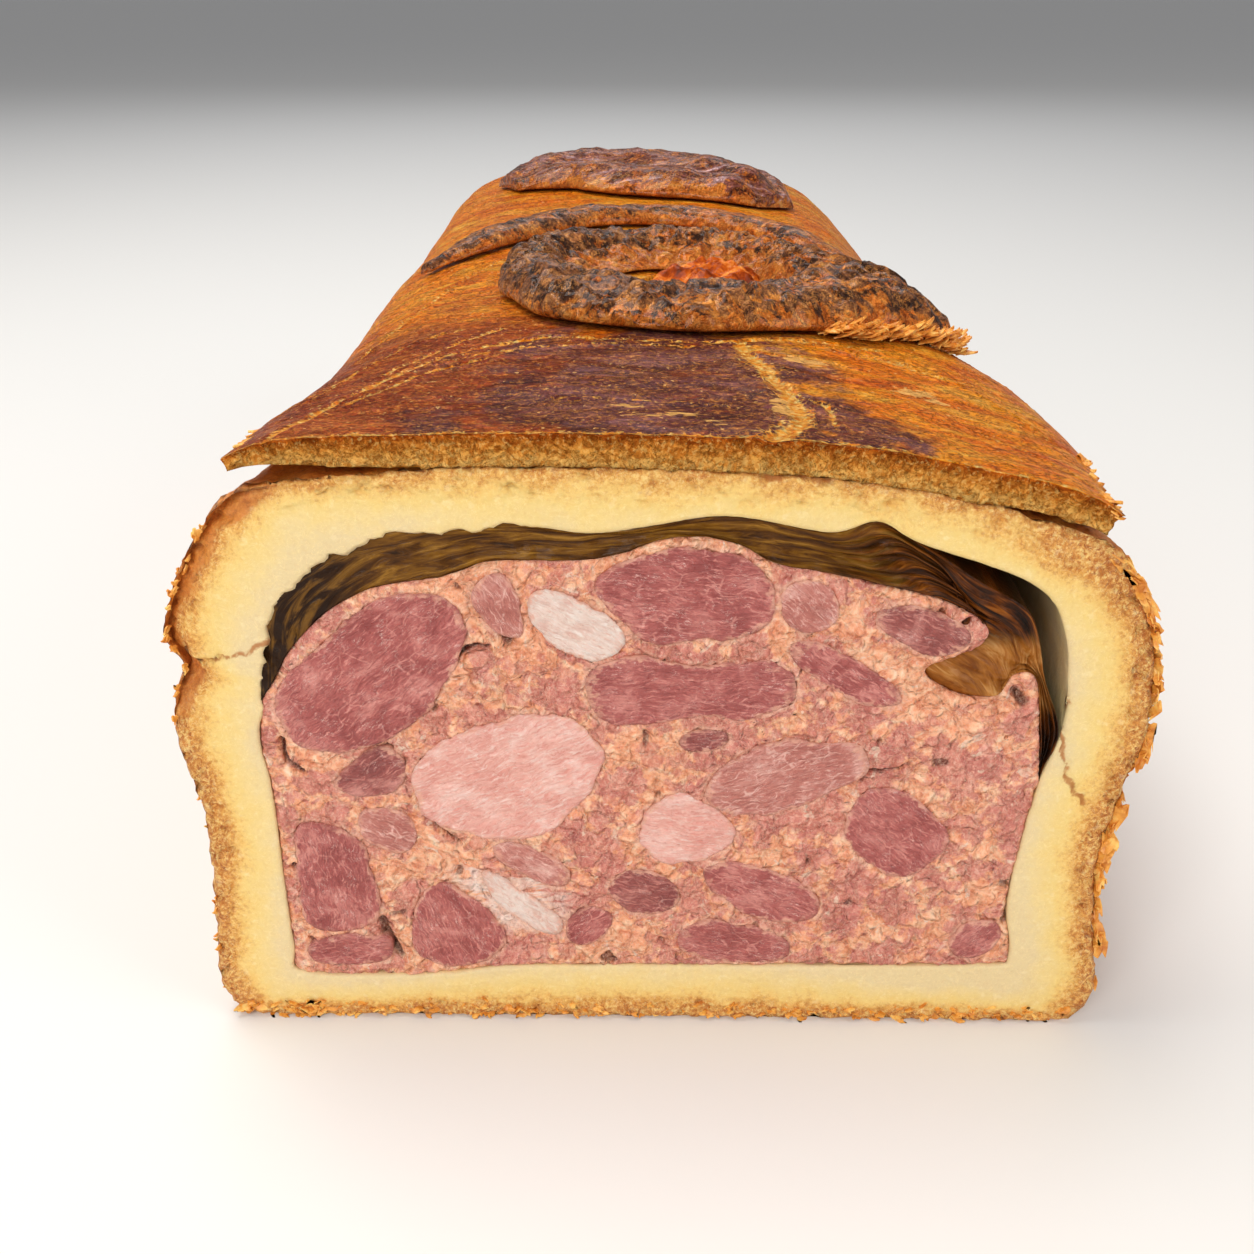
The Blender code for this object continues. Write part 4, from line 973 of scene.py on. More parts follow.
# Kind, middle x and z, half length, half width, tilt in degrees, squareness, taper, bend and depth of each piece
CHUNKS = {
    "ham_crown": ("lean", 0.0029, 0.0543, 0.0083, 0.0049, -5, 2.3, 0.12, 0.0, 0.030),
    "ham_upper_left": ("lean", -0.0290, 0.0453, 0.0113, 0.0057, 42, 2.6, -0.10, 0.0, 0.036),
    "fat_upper": ("fat", -0.0086, 0.0512, 0.0049, 0.0029, -28, 2.2, 0.1, 0.2, 0.018),
    "lean_by_fat": ("pale", -0.0154, 0.0529, 0.0037, 0.0021, -64, 2.0, -0.3, 0.2, 0.014),
    "loin_centre": ("loin", -0.0154, 0.0334, 0.0101, 0.0069, 26, 2.1, -0.18, 0.1, 0.040),
    "dark_left": ("dark", -0.0306, 0.0334, 0.0039, 0.0023, 30, 2.4, 0.25, 0.2, 0.016),
    "lean_left_small": ("pale", -0.0293, 0.0267, 0.0034, 0.0025, -26, 2.0, 0.1, 0.0, 0.014),
    "ham_left_tall": ("lean", -0.0354, 0.0200, 0.0070, 0.0042, -86, 3.2, 0.12, 0.0, 0.032),
    "ham_corner_left": ("lean", -0.0344, 0.0098, 0.0048, 0.0018, 5, 3.2, 0.0, 0.0, 0.016),
    "ham_low_left": ("lean", -0.0226, 0.0135, 0.0055, 0.0046, -72, 2.6, 0.35, 0.1, 0.026),
    "fat_low": ("fat", -0.0149, 0.0168, 0.0059, 0.0016, -43, 2.3, 0.15, 0.2, 0.020),
    "lean_over_fat": ("pale", -0.0136, 0.0222, 0.0046, 0.0017, -31, 2.2, 0.2, 0.0, 0.014),
    "lean_low_small": ("lean", -0.0074, 0.0139, 0.0028, 0.0020, 44, 2.2, 0.0, 0.0, 0.012),
    "ham_middle": ("lean", 0.0034, 0.0437, 0.0104, 0.0034, 3, 2.8, -0.2, 0.1, 0.030),
    "lean_middle_small": ("dark", 0.0048, 0.0380, 0.0025, 0.0013, 9, 2.2, 0.0, 0.0, 0.012),
    "dark_low": ("dark", -0.0011, 0.0185, 0.0042, 0.0028, -12, 2.0, 0.0, 0.1, 0.018),
    "lean_low_right": ("lean", 0.0114, 0.0186, 0.0070, 0.0030, -22, 2.2, 0.05, 0.15, 0.024),
    "lean_bottom": ("lean", 0.0090, 0.0112, 0.0064, 0.0025, -8, 2.6, -0.25, 0.0, 0.022),
    "loin_fibrous": ("loin", 0.0028, 0.0264, 0.0048, 0.0041, -4, 2.2, 0.0, 0.0, 0.024),
    "ham_fibrous": ("pale", 0.0132, 0.0334, 0.0084, 0.0037, 18, 2.0, 0.0, -0.1, 0.028),
    "ham_right": ("lean", 0.0252, 0.0266, 0.0058, 0.0044, -41, 2.4, 0.0, 0.15, 0.026),
    "loin_upper_right": ("pale", 0.0148, 0.0536, 0.0031, 0.0025, -42, 2.0, 0.0, 0.0, 0.014),
    "ham_upper_right": ("dark", 0.0258, 0.0508, 0.0047, 0.0021, -20, 2.1, 0.0, 0.1, 0.018),
    "ham_slant_right": ("lean", 0.0189, 0.0457, 0.0064, 0.0018, -29, 2.0, 0.0, 0.1, 0.018),
    "ham_corner_right": ("lean", 0.0358, 0.0122, 0.0028, 0.0020, 40, 2.0, 0.0, 0.0, 0.014),
}


def chunk_outline(x, z, half_long, half_short, tilt, squareness, taper, bend, step):
    """Rounded outline of one piece of meat at the cut, clockwise."""
    turn = math.radians(tilt)
    count = max(12, round(2 * math.pi * math.sqrt((half_long ** 2 + half_short ** 2) / 2) / step))
    ring = []
    for i in range(count):
        angle = -2 * math.pi * i / count
        c, s = math.cos(angle), math.sin(angle)
        r = (abs(c / half_long) ** squareness + abs(s / half_short) ** squareness) ** (-1 / squareness)
        r *= 1 + 0.05 * noise.noise(Vector((c * 1.7 + x * 900, s * 1.7 + z * 900, 0.5)))
        along, across = r * c, r * s
        across = across * (1 + taper * along / half_long) + bend * ((along / half_long) ** 2 - 0.5) * half_short
        ring.append(Vector((x + along * math.cos(turn) - across * math.sin(turn),
                            z + along * math.sin(turn) + across * math.cos(turn))))
    return ring


def ragged_outline(name, step):
    """The same outline with the bays and points of torn meat, as far as its neighbours leave room."""
    ring = chunk_outline(*CHUNKS[name][1:-1], step)
    normals = outward(ring, True)
    wide = min(1.0, CHUNKS[name][4] / 0.0036)
    torn = []
    for p, n in zip(ring, normals):
        spot = Vector((p.x, p.y, 4.0))
        push = 0.00022 + 0.00125 * grain(spot, 130, 2) + 0.00030 * grain(spot, 420, 2) + 0.00014 * grain(spot, 1300, 2)
        room = min(tree.find((p.x, p.y, 0.0))[2] for other, tree in NEIGHBOURS.items() if other != name)
        torn.append(p + n * min(wide * push, max((room - 0.00055) / 2, 0.0)))
    return torn


def line_finder(ring):
    """Nearest point of a closed line, and whether a place is inside it."""
    tree = point_tree(ring)
    normals = outward(ring, True)

    def find(x, z):
        _, i, away = tree.find((x, z, 0.0))
        inside = (x - ring[i].x) * normals[i].x + (z - ring[i].y) * normals[i].y < 0
        return ring[i], normals[i], away, inside
    return find


def shifted(line, distance, closed=True):
    """The line moved along its normals, outward when the distance is positive."""
    return [p + n * distance for p, n in zip(line, outward(line, closed))]


hollow_line = shifted(curve_through(HOLLOW, 0.0002, closed=True), -0.00008)
left = min((i for i, p in enumerate(hollow_line) if p.x < 0), key=lambda i: abs(hollow_line[i].y - MEAT_LEFT_Z))
right = min((i for i, p in enumerate(hollow_line) if p.x > 0.03), key=lambda i: abs(hollow_line[i].y - MEAT_RIGHT_Z))
meat_top_line = curve_through([hollow_line[left]] + MEAT_TOP + [hollow_line[right]], 0.0002)
meat_line = hollow_line[right:] + hollow_line[:left + 1] + meat_top_line[1:-1]
meat_edge = line_finder(meat_line)
NEIGHBOURS = {name: point_tree(chunk_outline(*spec[1:-1], 0.0002)) for name, spec in CHUNKS.items()}
NEIGHBOURS["edge"] = point_tree(meat_line)
OUTLINES = {name: ragged_outline(name, 0.0002) for name in CHUNKS}
FINDERS = {name: line_finder(ring) for name, ring in OUTLINES.items()}


def forcemeat_body():
    """Face of fine cells at the cut, with pockets for the pieces and a plain body behind."""
    cell = 0.00024
    low = Vector((-0.0420, 0.0060))
    high = Vector((0.0420, 0.0610))
    columns, rows = round((high.x - low.x) / cell), round((high.y - low.y) / cell)
    bm, places, layers = cells(columns, rows, ("edge", "pit"))
    edge, pit = layers["edge"], layers["pit"]
    for vert, i, j in places:
        vert.co = Vector((low.x + i * cell, FRONT_Y, low.y + j * cell))
    outside = []
    for face in bm.faces:
        c = face.calc_center_median()
        if not meat_edge(c.x, c.z)[3]:
            outside.append(face)
    bmesh.ops.delete(bm, geom=outside, context="FACES")
    for vert in bm.verts:
        if vert.is_boundary:
            p = meat_edge(vert.co.x, vert.co.z)[0]
            vert.co.x, vert.co.z = p.x, p.y
    inside = {name: [] for name in CHUNKS}
    boxes = {}
    for name, ring in OUTLINES.items():
        boxes[name] = (min(p.x for p in ring), max(p.x for p in ring), min(p.y for p in ring), max(p.y for p in ring))
    for face in bm.faces:
        c = face.calc_center_median()
        for name, (x0, x1, z0, z1) in boxes.items():
            if x0 <= c.x <= x1 and z0 <= c.z <= z1 and FINDERS[name](c.x, c.z)[3]:
                inside[name].append(face)
                break
    floors = {}
    for name, faces in inside.items():
        made = bmesh.ops.dissolve_faces(bm, faces=faces, use_verts=True)["region"]
        floors[name] = made[0]
        for vert in made[0].verts:
            p, n, _, _ = FINDERS[name](vert.co.x, vert.co.z)
            vert.co.x, vert.co.z = p.x - n.x * POCKET_OVERLAP, p.y - n.y * POCKET_OVERLAP
    for vert in bm.verts:
        x, z = vert.co.x, vert.co.z
        nearest = 0.0018
        for name, (x0, x1, z0, z1) in boxes.items():
            if x0 - 0.002 < x < x1 + 0.002 and z0 - 0.002 < z < z1 + 0.002:
                nearest = min(nearest, FINDERS[name](x, z)[2])
        rim = min(meat_edge(x, z)[2], 0.0018)
        spot = Vector((x, 0.0, z))
        relief = 0.00028 * grain(spot, 420, 3) + 0.00012 * grain(spot, 1400, 3)
        bent = Vector((noise.noise(spot * 300), 0, noise.noise(spot * 300 + Vector((4, 4, 4)))))
        lump = noise.voronoi(spot * 520 + 1.4 * bent)[0]
        relief += 0.00022 * (1 - min((lump[1] - lump[0]) * 3.0, 1.0))
        relief += 0.00020 * hill(nearest, 0, 0.00025) * max(grain(spot, 260), 0.0) + 0.0003 * hill(rim, 0, 0.0003)
        hole = ease((grain(Vector((x, 9.0, z)), 300, 2) - 0.52) / 0.2)
        relief += 0.0006 * hole
        gap, number = meat_crack(x + 0.0003 * noise.noise(spot * 900),
                                 z + 0.0003 * noise.noise(spot * 900 + Vector((3, 1, 7))))
        wide = MEAT_CRACKS[number][1]
        relief += 0.0012 * hill(gap, 0, wide)
        # The pit value marks cracks and holes for painted shade in the finish.
        vert[pit] = max(hill(gap, 0, wide), 0.7 * hole)
        vert.co.y = FRONT_Y + max(relief, -0.0001) + 0.0002
        vert[edge] = nearest * MILLIMETRES
    for name, floor in floors.items():
        depth = CHUNKS[name][-1]
        start = [v.co.copy() for v in floor.verts]
        middle = sum(start, Vector()) / len(start)
        end = floor
        for back, share in ((0.62 * depth, 0.97), (0.9 * depth, 0.72), (depth + GAP, 0.36)):
            grown = bmesh.ops.extrude_face_region(bm, geom=[end])["geom"]
            bm.faces.remove(end)
            end = next(item for item in grown if isinstance(item, bmesh.types.BMFace))
            for vert, p in zip(end.verts, start):
                vert.co = Vector((middle.x + (p.x - middle.x) * share, FRONT_Y + back,
                                  middle.z + (p.z - middle.z) * share))
    rim_edges = [e for e in bm.edges if e.is_boundary]
    for mark in (STRAIGHT_PART, 0.080, LENGTH_IN - GAP):
        grown = bmesh.ops.extrude_edge_only(bm, edges=rim_edges)["geom"]
        rim_edges = [item for item in grown if isinstance(item, bmesh.types.BMEdge)]
        for vert in {v for e in rim_edges for v in e.verts}:
            vert.co.y = FRONT_Y + mark
    for vert in bm.verts:
        if vert.co.y > FRONT_Y + STRAIGHT_PART + 0.01:
            vert.co.x, vert.co.z = slumped(vert.co.x, vert.co.z, vert.co.y)
    bmesh.ops.holes_fill(bm, edges=rim_edges, sides=0)
    return bm


def forcemeat_finish():
    """Minced pork paste: salmon pink, with orange curls, fat bits and dark specks, and painted shade in its creases,
    cracks and holes.
    """
    f = Finish("minced_pork", Roughness=0.36, Specular_IOR_Level=0.5)
    curl = f.noise(440, 5, 0.56, 2.0)
    colour = f.ramp(curl, [(0.28, (204, 110, 74)), (0.42, (236, 152, 110)), (0.52, (250, 176, 134)),
                           (0.62, (255, 200, 160)), (0.76, (255, 226, 196))])
    warm = f.level(f.noise(190, 4, 0.65, 0.6), 0.45, 0.62, 0.0, 0.32)
    colour = f.mix(warm, colour, f.mix(curl, (190, 104, 62), (238, 168, 118)))
    for scale, push, chance, share in ((125, 0.0080, 0.46, 0.85), (230, 0.0048, 0.44, 0.85),
                                       (420, 0.0028, 0.34, 0.60)):
        bent = f.warped(scale * 0.9, push)
        lean_pick = f.axis("X", f.voronoi(scale, "F1", "Color", bent))
        border = f.voronoi(scale, "DISTANCE_TO_EDGE", source=bent)
        border = f.sum(border, f.level(f.noise(1100, 3), 0.3, 0.7, -0.09, 0.09))
        fibre = f.noise(950, 4, 0.7, 0.8, f.stretch((1.0, 1.0, 0.30), (0, 0.7 if scale < 200 else -0.6, 0), bent))
        lean = f.ramp(fibre, [(0.32, (172, 88, 80)), (0.46, (198, 112, 100)), (0.58, (216, 134, 118)),
                              (0.72, (242, 180, 162))])
        inside = f.times(f.level(border, 0.03, 0.16), f.level(lean_pick, chance + 0.03, chance, 0.0, share))
        colour = f.mix(inside, colour, lean)
    bent = f.warped(420, 0.0024)
    creases = f.voronoi(430, "DISTANCE_TO_EDGE", source=bent)
    fat = f.times(f.level(f.noise(310, 4, 0.55, 2.2), 0.635, 0.675, 0.0, 0.85), f.level(creases, 0.0, 0.10, 0.4, 1.0))
    colour = f.mix(fat, colour, (240, 206, 182))
    # Painted shade: thin darker lines along the creases between the bits of mince.
    thin = f.level(f.noise(330, 3), 0.46, 0.60)
    colour = f.mix(f.times(f.level(creases, 0.05, 0.0, 0.0, 0.55), thin), colour, (150, 76, 50))
    marbled = f.times(f.level(f.apart(f.axis("X"), 0.0165), 0.0082, 0.0040),
                     f.level(f.apart(f.axis("Z"), -0.0178), 0.0066, 0.0030))
    veins = f.noise(150, 5, 0.62, 1.2, f.stretch((0.7, 1.0, 2.2), (0, 0.72, 0)))
    marbled = f.times(marbled, f.level(veins, 0.44, 0.52))
    colour = f.mix(marbled, colour, f.ramp(f.noise(700, 4), [(0.35, (228, 176, 158)), (0.60, (246, 220, 206))]))
    pale_rim = f.sum(f.attribute("edge"), f.level(f.noise(420, 4), 0.3, 0.7, -0.35, 0.55))
    colour = f.mix(f.level(pale_rim, 0.60, 0.10, 0.0, 0.55), colour, (240, 188, 160))
    # Painted shade: cracks and holes in the filling are darkened.
    colour = f.mix(f.level(f.attribute("pit"), 0.25, 0.8, 0.0, 0.9), colour, (92, 40, 26))
    wisps = f.lines(640, 5, 0.62, 2.8)
    colour = f.mix(f.level(wisps, 0.020, 0.004, 0.0, 0.55), colour, (252, 206, 178))
    specks = f.level(f.noise(2100, 2, 0.5), 0.69, 0.76, 0.0, 0.7)
    colour = f.mix(specks, colour, (116, 58, 42))
    f.to("Base Color", f.grit(colour, 1900, 0.22, (166, 84, 62), (255, 216, 190)))
    f.scatter(0.10, (0.0016, 0.0007, 0.0005))
    f.to("Roughness", f.level(f.noise(1500), 0.35, 0.65, 0.24, 0.46))
    first = f.bump(f.level(creases, 0.0, 0.22), 0.00040, 0.8)
    f.to("Normal", f.bump(curl, 0.00055, 0.8, first))
    return f.material


show("minced_filling", forcemeat_body(), forcemeat_finish(), ["forcemeat"])

# Pieces of meat and fat. In the real loaf strips of ham, loin and back fat were laid in the mince before baking.
# Each shows its own muscle: fine fibres, pale seams between bundles, and a thin cream rim.
KINDS = {
    "lean": ("ham_meat", (148, 62, 59), (179, 92, 86), (222, 146, 134), 0.72),
    "dark": ("dark_meat", (128, 54, 52), (160, 80, 73), (212, 142, 130), 0.65),
    "pale": ("pale_meat", (174, 96, 84), (197, 120, 107), (240, 186, 172), 0.80),
    "loin": ("pork_loin", (226, 150, 136), (240, 178, 163), (250, 210, 198), 0.45),
    "fat": ("pork_fat", (222, 176, 160), (234, 204, 190), (246, 228, 216), 0.35),
}


def meat_finish(kind, dark, middle, pale, seams):
    """Cooked muscle with pale seams between its bundles, fine fibres along it and painted highlight streaks."""
    f = Finish("meat_" + kind, Roughness=0.33, Specular_IOR_Level=0.5)
    flow = f.flow(f.times(f.axis("Y"), MILLIMETRES))
    blush = f.noise(0.22, 4, 0.65, 0.6, flow)
    colour = f.ramp(blush, [(0.30, dark), (0.52, middle), (0.75, pale)])
    bent = f.warped(0.35, 1.6, flow)
    bundles = f.voronoi(0.62, "DISTANCE_TO_EDGE", source=f.stretch((0.62, 1.0, 1.0), source=bent))
    web = f.level(bundles, 0.060, 0.005, 0.0, seams)
    thin = f.level(f.noise(0.45, 4, 0.7, 0.0, flow), 0.44, 0.60)
    colour = f.mix(f.times(web, thin), colour, pale)
    fibres = f.noise(2.2, 5, 0.74, 0.7, f.stretch((0.30, 1.7, 1.0), source=bent))
    colour = f.mix(f.level(fibres, 0.53, 0.64, 0.0, 0.65), colour, pale)
    colour = f.mix(f.level(fibres, 0.47, 0.36, 0.0, 0.60), colour, dark)
    # Painted highlights: thin near-white streaks stand for wet glints on the cut meat.
    highlight_streaks = f.lines(1.5, 3, 0.6, 0.4, f.stretch((0.5, 2.4, 1.0), source=bent))
    few = f.level(f.noise(0.8, 3, 0.6, 0.0, flow), 0.50, 0.62)
    colour = f.mix(f.times(f.level(highlight_streaks, 0.014, 0.002, 0.0, 0.85), few), colour, (250, 214, 202))
    rim = f.sum(f.attribute("rim"), f.level(f.noise(1.1, 3, 0.6, 0.0, flow), 0.25, 0.75, -0.35, 0.35))
    patchy = f.level(f.noise(0.35, 3, 0.6, 0.0, flow), 0.40, 0.60, 0.10, 0.75)
    colour = f.mix(f.times(f.level(rim, 0.38, 0.05), patchy), colour, (236, 174, 148))
    shade = f.ramp(fibres, [(0.36, (0.06, 0.06, 0.06, 1)), (0.64, (0.94, 0.94, 0.94, 1))])
    f.to("Base Color", f.mix(0.15, colour, shade, "OVERLAY"))
    f.scatter(0.10, (0.0016, 0.0007, 0.0005))
    f.to("Roughness", f.level(f.noise(1.3, 3, 0.6, 0.0, flow), 0.35, 0.65, 0.24, 0.46))
    first = f.bump(f.level(bundles, 0.0, 0.2), 0.00010, 0.4)
    f.to("Normal", f.bump(fibres, 0.00035, 0.7, first))
    return f.material


MEATS = {kind: meat_finish(kind, *spec[1:]) for kind, spec in KINDS.items()}


def chunk_piece(name):
    """One piece: fine rings over its cut face, a soft rim, and a body that runs back and rounds off."""
    kind, x, z, half_long, half_short, tilt, *_, depth = CHUNKS[name]
    ring = ragged_outline(name, 0.00026)
    middle = sum(ring, Vector((0, 0))) / len(ring)
    turn = math.radians(tilt)
    reach = half_short * MILLIMETRES
    face_rings = max(6, round(half_short / 0.00024))
    rows, alongs, acrosses, rims = [], [], [], []

    def add(share, y_of, inset):
        points, a, b, r = [], [], [], []
        for p in ring:
            q = middle + (p - middle) * share
            points.append(Vector((q.x, y_of(q), q.y)))
            dx, dz = (q.x - x) * MILLIMETRES, (q.y - z) * MILLIMETRES
            a.append(dx * math.cos(turn) + dz * math.sin(turn) + x * 3000)
            b.append(-dx * math.sin(turn) + dz * math.cos(turn) + z * 3000)
            r.append(inset)
        rows.append(points)
        alongs.append(a)
        acrosses.append(b)
        rims.append(r)

    def face_y(q):
        spot = Vector((q.x, 2.0, q.y))
        return FRONT_Y + 0.0001 + 0.00014 * grain(spot, 320) + 0.00007 * grain(spot, 1300, 2)

    add(0.0, face_y, reach)
    for k in range(1, face_rings + 1):
        share = k / face_rings
        drop = 0.00003 * ease((share - 0.95) / 0.05)
        add(share, lambda q, drop=drop: face_y(q) + drop, (1 - share) * reach)
    for back, share in ((0.0008, 1.0), (0.3 * depth, 0.985), (0.62 * depth, 0.97), (0.9 * depth, 0.72), (depth, 0.36),
                        (depth, 0.0)):
        add(share, lambda q, back=back: FRONT_Y + back, 0.0)
    bm = skin(rows, {"along": alongs, "across": acrosses, "rim": rims})
    show("piece_" + name, bm, MEATS[kind], [name])


for name in CHUNKS:
    chunk_piece(name)

# Aspic. The real one is dark meat jelly, poured in through the vent and set between the filling and the crust.
# It is olive-brown and wet, lighter in streaks, and has drawn away from the crust at the right.
ceiling = []
normals = outward(hollow_line, True)
for i in range(left + 1, right):
    p = hollow_line[i]
    drawn = 0.0024 * ease((p.x - 0.0230) / 0.012) * ease((p.y - MEAT_RIGHT_Z - 0.004) / 0.010)
    ceiling.append(p - normals[i] * drawn)
floor_line = shifted(meat_top_line, 0.00006, closed=False)


def aspic_body():
    """Crescent of jelly: rows go from its left tip to its right tip, each once round its thickness."""
    count = 420
    over, under = even(ceiling, count), even(floor_line, count)
    across = 26
    backs = (0.0015, 0.01, 0.04, 0.08, LENGTH_IN - GAP)
    rows, flow_u, flow_v = [], [], []
    for i in range(count + 1):
        top, low = over[i], under[i]
        share = i / count
        ring, us, vs = [], [], []
        for k in range(across + 1):
            v = k / across
            q = top.lerp(low, v)
            spot = Vector((q.x, 6.0, q.y))
            bulge = 0.0009 * math.sin(math.pi * v) * ease((q.x + 0.03) / 0.02)
            layer = 0.00035 * math.sin(v * 26 + 3 * noise.noise(spot * 120)) * ease((q.x - 0.012) / 0.01)
            relief = 0.0006 + bulge * 0.6 + layer + 0.00035 * grain(spot, 260) + 0.00035 * ease(-grain(spot, 90) * 2)
            ring.append(Vector((q.x, FRONT_Y + max(relief, 0.0), q.y)))
            us.append(share * 100)
            vs.append(v * (top - low).length * MILLIMETRES)
        for place, back in [(low, back) for back in backs] + [(top, back) for back in reversed(backs)]:
            x, z = slumped(place.x, place.y, FRONT_Y + back)
            ring.append(Vector((x, FRONT_Y + back, z)))
            us.append(share * 100)
            vs.append(0.0)
        rows.append(ring)
        flow_u.append(us)
        flow_v.append(vs)
    for where, end in ((0, 0), (len(rows) + 1, -1)):
        middle = sum(rows[end], Vector()) / len(rows[end])
        rows.insert(where, [middle] * len(rows[end]))
        flow_u.insert(where, flow_u[end])
        flow_v.insert(where, flow_v[end])
    return skin(rows, {"along": flow_u, "across": flow_v})


def aspic_finish():
    """Set meat jelly: olive-brown, streaked, nearly black towards its left end where shade is painted in, wet on the
    cut.
    """
    f = Finish("meat_jelly", Roughness=0.24, Specular_IOR_Level=0.12, Coat_Weight=0.06, Coat_Roughness=0.06)
    flow = f.flow()
    streak = f.noise(0.55, 4, 0.65, 0.8, f.stretch((0.35, 1.5, 1.0), source=flow))
    colour = f.ramp(streak, [(0.30, (40, 20, 3)), (0.45, (86, 50, 8)), (0.57, (122, 80, 20)),
                             (0.72, (172, 124, 46))])
    x = f.axis("X")
    right = f.level(x, 0.010, 0.030)
    layers = f.noise(1.4, 3, 0.6, 0.5, f.stretch((0.16, 1.5, 1.0), source=flow))
    layered = f.ramp(layers, [(0.34, (20, 9, 3)), (0.48, (56, 26, 6)), (0.60, (104, 52, 12)),
                              (0.74, (162, 94, 32))])
    colour = f.mix(right, colour, layered)
    # Painted shade: the jelly darkens towards its left end.
    shaded_left = f.level(x, -0.026, -0.035, 0.0, 0.88)
    colour = f.mix(shaded_left, colour, f.mix(f.level(streak, 0.45, 0.62), (30, 13, 3), (108, 72, 24)))
    pocket = f.times(f.level(f.apart(x, -0.0325), 0.0085, 0.0050),
                    f.level(f.apart(f.axis("Z"), -0.0452), 0.0055, 0.0028))
    amber = f.ramp(streak, [(0.34, (128, 70, 22)), (0.52, (178, 112, 46)), (0.70, (224, 168, 100))])
    colour = f.mix(f.times(pocket, 0.80), colour, amber)
    f.to("Base Color", colour)
    ripple = f.bump(streak, 0.00060, 0.6)
    f.to("Normal", f.bump(f.noise(1500, 3, 0.6), 0.00018, 0.5, ripple))
    return f.material


show("meat_jelly", aspic_body(), aspic_finish(), ["aspic"])

# Flakes and crumbs. Real crisp flakes stand off the cut edge: golden ones down the right side and along the lid's
# eave, a fan under the tip of the collar, and a fringe of crumbs along the foot. They only cling to the crust.
rng = random.Random(5)


def flake(bm, place, way, up, length, width, curl, taper=0.75):
    """One thin bent flake that starts at a place and points along way."""
    way, up = way.normalized(), up.normalized()
    side = way.cross(up).normalized()
    lift = side.cross(way).normalized()
    made = bmesh.ops.create_grid(bm, x_segments=3, y_segments=4, size=0.5)["verts"]
    for vert in made:
        u, v = vert.co.x, vert.co.y + 0.5
        point = 1 - taper * v ** 1.6 + 0.3 * math.sin(v * 9 + u * 4)
        vert.co = (place + way * (length * v) + side * (width * u * point)
                   + lift * (curl * length * v * v + 0.12 * width * math.cos(u * 3)))
    faces = list({face for vert in made for face in vert.link_faces})
    thick = bmesh.ops.extrude_face_region(bm, geom=faces)["geom"]
    for item in thick:
        if isinstance(item, bmesh.types.BMVert):
            item.co += lift * (0.00012 + 0.00006 * rng.random())


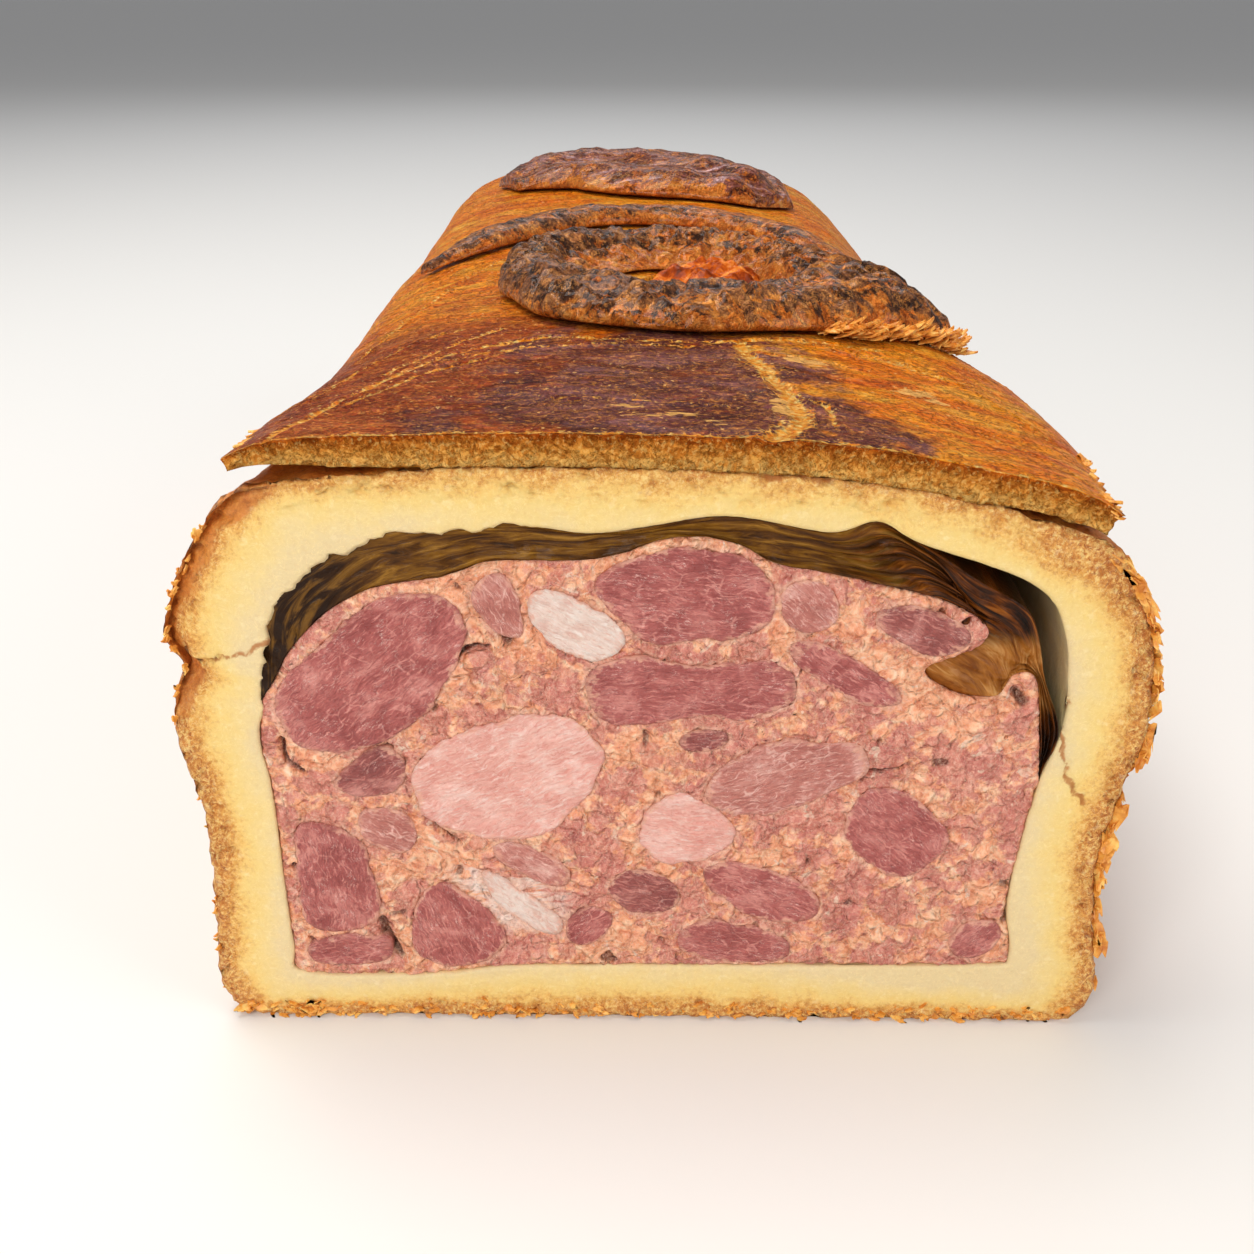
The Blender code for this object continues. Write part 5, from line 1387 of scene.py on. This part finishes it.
def flake_set():
    """All the flakes as one piece: right wall, both eaves, left wall, foot and collar tip, in that order."""
    bm = bmesh.new()
    right_line = [(p, n) for p, n in zip(CASE_LINE, CASE_NORMALS) if p.x > 0.044 and p.y > 0.004]
    for _ in range(170):
        p, n = rng.choice(right_line)
        back = abs(rng.gauss(0, 0.004))
        if p.y < 0.02 and rng.random() < 0.5:
            continue
        spot = on_crust(p, n, -0.0003, FRONT_Y + 0.0004 + back)
        way = Vector((n.x * rng.uniform(0.3, 0.9), -rng.uniform(0.2, 0.9), n.y * 0.6 - rng.uniform(-0.9, 0.9)))
        flake(bm, spot, way, Vector((n.x, 0.2, n.y)), rng.uniform(0.0008, 0.0017), rng.uniform(0.0020, 0.0048),
              rng.uniform(0.0, 0.3), 0.35)
    for _ in range(90):
        share = rng.random()
        behind = abs(rng.gauss(0, 0.02))
        low, high, along, _ = lid_frame(0.985 + 0.012 * rng.random(), FRONT_Y + 0.001 + behind)
        spot = low.lerp(high, share)
        way = along * rng.uniform(0.5, 1.0) + Vector((0, -rng.uniform(-0.3, 0.8), rng.uniform(-0.2, 0.3)))
        flake(bm, spot - along * 0.0008, way, high - low, rng.uniform(0.0008, 0.0016), rng.uniform(0.0012, 0.0026),
              rng.uniform(-0.1, 0.3))
    for _ in range(60):
        behind = abs(rng.gauss(0, 0.02))
        low, high, along, _ = lid_frame(0.004 + 0.010 * rng.random(), FRONT_Y + 0.001 + behind)
        way = -along * rng.uniform(0.5, 1.0) + Vector((0, -rng.uniform(-0.3, 0.8), rng.uniform(-0.2, 0.2)))
        flake(bm, low.lerp(high, rng.random()) + along * 0.0006, way, high - low, rng.uniform(0.0006, 0.0012),
              rng.uniform(0.0006, 0.0013), rng.uniform(-0.1, 0.2))
    left_line = [(p, n) for p, n in zip(CASE_LINE, CASE_NORMALS) if p.x < -0.044 and p.y > 0.002]
    for _ in range(120):
        p, n = rng.choice(left_line)
        spot = on_crust(p, n, -0.0005, FRONT_Y + 0.0004 + abs(rng.gauss(0, 0.004)))
        way = Vector((n.x * rng.uniform(0.1, 0.5), -rng.uniform(0.2, 0.9), n.y * 0.6 - rng.uniform(-0.9, 0.9)))
        flake(bm, spot, way, Vector((n.x, 0.2, n.y)), rng.uniform(0.0005, 0.0012), rng.uniform(0.0005, 0.0011),
              rng.uniform(0.0, 0.2))
    for _ in range(420):
        x = rng.uniform(-0.0480, 0.0480)
        spot = Vector((x, FRONT_Y + 0.0009 + abs(rng.gauss(0, 0.0006)), rng.uniform(0.0002, 0.0022)))
        way = Vector((rng.uniform(-1, 1), -rng.uniform(0.3, 0.9), rng.uniform(-0.5, 0.3)))
        big = 1.9 if x < -0.036 else 1.3
        flake(bm, spot, way, Vector((0, -0.5, 1)), big * rng.uniform(0.0006, 0.0014),
              big * rng.uniform(0.0004, 0.0012), rng.uniform(-0.2, 0.5))
    for _ in range(150):
        degrees = rng.uniform(-56, -6)
        c, s = math.cos(math.radians(degrees)), math.sin(math.radians(degrees))
        reach = round_table(COLLAR_OUTER, degrees) + rng.uniform(-0.0008, 0.0012)
        x, y = VENT[0] + c * reach, VENT[1] + s * reach
        spot = Vector((x, y, lid_height(x, y) + 0.0002 + rng.uniform(0, 0.0012)))
        way = Vector((c + rng.uniform(-0.5, 0.5), s + rng.uniform(-0.5, 0.5), rng.uniform(-0.1, 0.35)))
        flake(bm, spot, way, Vector((0, 0, 1)), rng.uniform(0.0016, 0.0032), rng.uniform(0.0014, 0.0032),
              rng.uniform(0.0, 0.35))
    for vert in bm.verts:
        vert.co.z = max(vert.co.z, 0.0)
        vert.co.x = min(max(vert.co.x, -0.0502), 0.0512)
        vert.co.y = max(vert.co.y, FRONT_Y - 0.0002)
    return bm


def flake_finish():
    """Crisp golden-orange flakes, browner at some tips."""
    f = Finish("crisp_flakes", Roughness=0.42)
    colour = f.ramp(f.noise(700, 3), [(0.32, (204, 120, 40)), (0.5, (238, 164, 66)), (0.68, (252, 206, 112))])
    f.to("Base Color", colour)
    f.to("Normal", f.bump(f.noise(1600), 0.0002, 0.5))
    return f.material


show("edge_flakes", flake_set(), flake_finish(), (), smooth=False)

# Stage, light and camera. A plain pale floor, soft lights above and behind, and soft fills from the front and the
# right. The camera looks down on the cut from close by, as in the photo.
bpy.ops.mesh.primitive_plane_add(size=80.0, location=(0, 0, 0))
floor = bpy.context.object
floor.name = "floor"
f = Finish("plain_floor", Roughness=0.7)
f.to("Base Color", (0.80, 0.79, 0.77, 1.0))
floor.data.materials.append(f.material)


def soft_light(name, place, target, size, power, colour):
    """A square studio softbox aimed at the target."""
    data = bpy.data.lights.new(name, "AREA")
    data.shape = "RECTANGLE"
    data.size, data.size_y = size
    data.energy = power
    data.color = colour
    light = bpy.data.objects.new(name, data)
    bpy.context.scene.collection.objects.link(light)
    light.location = place
    light.rotation_euler = (Vector(target) - Vector(place)).to_track_quat("-Z", "Y").to_euler()


soft_light("back_light", (0.0, 0.95, 0.70), (0, -0.03, 0.06), (0.9, 0.35), 1.9, (0.92, 0.95, 1.0))
soft_light("top_light", (-0.25, 0.05, 0.80), (0, -0.02, 0.05), (0.5, 0.5), 5.0, (1.0, 0.97, 0.92))
soft_light("front_light", (-0.30, -0.75, 0.50), (0, -0.05, 0.03), (0.5, 0.5), 4.1, (1.0, 0.98, 0.95))
soft_light("right_light", (0.60, -0.35, 0.40), (0, -0.05, 0.03), (0.4, 0.4), 1.5, (1.0, 0.98, 0.95))
world = bpy.data.worlds.new("studio")
bpy.context.scene.world = world
world.use_nodes = True
world.node_tree.nodes["Background"].inputs["Color"].default_value = (0.96, 0.97, 1.0, 1.0)
world.node_tree.nodes["Background"].inputs["Strength"].default_value = 0.30

lens = bpy.data.cameras.new("camera")
lens.lens = 37.03
lens.sensor_width = 36
lens.clip_start = 0.01
camera = bpy.data.objects.new("camera", lens)
bpy.context.scene.collection.objects.link(camera)
camera.location = Vector((-0.0017, -0.2135, 0.1082)) + SHIFT
camera.rotation_euler = (math.radians(63.3), 0, math.radians(0.72))
bpy.context.scene.camera = camera
bpy.context.scene.view_settings.view_transform = "Standard"
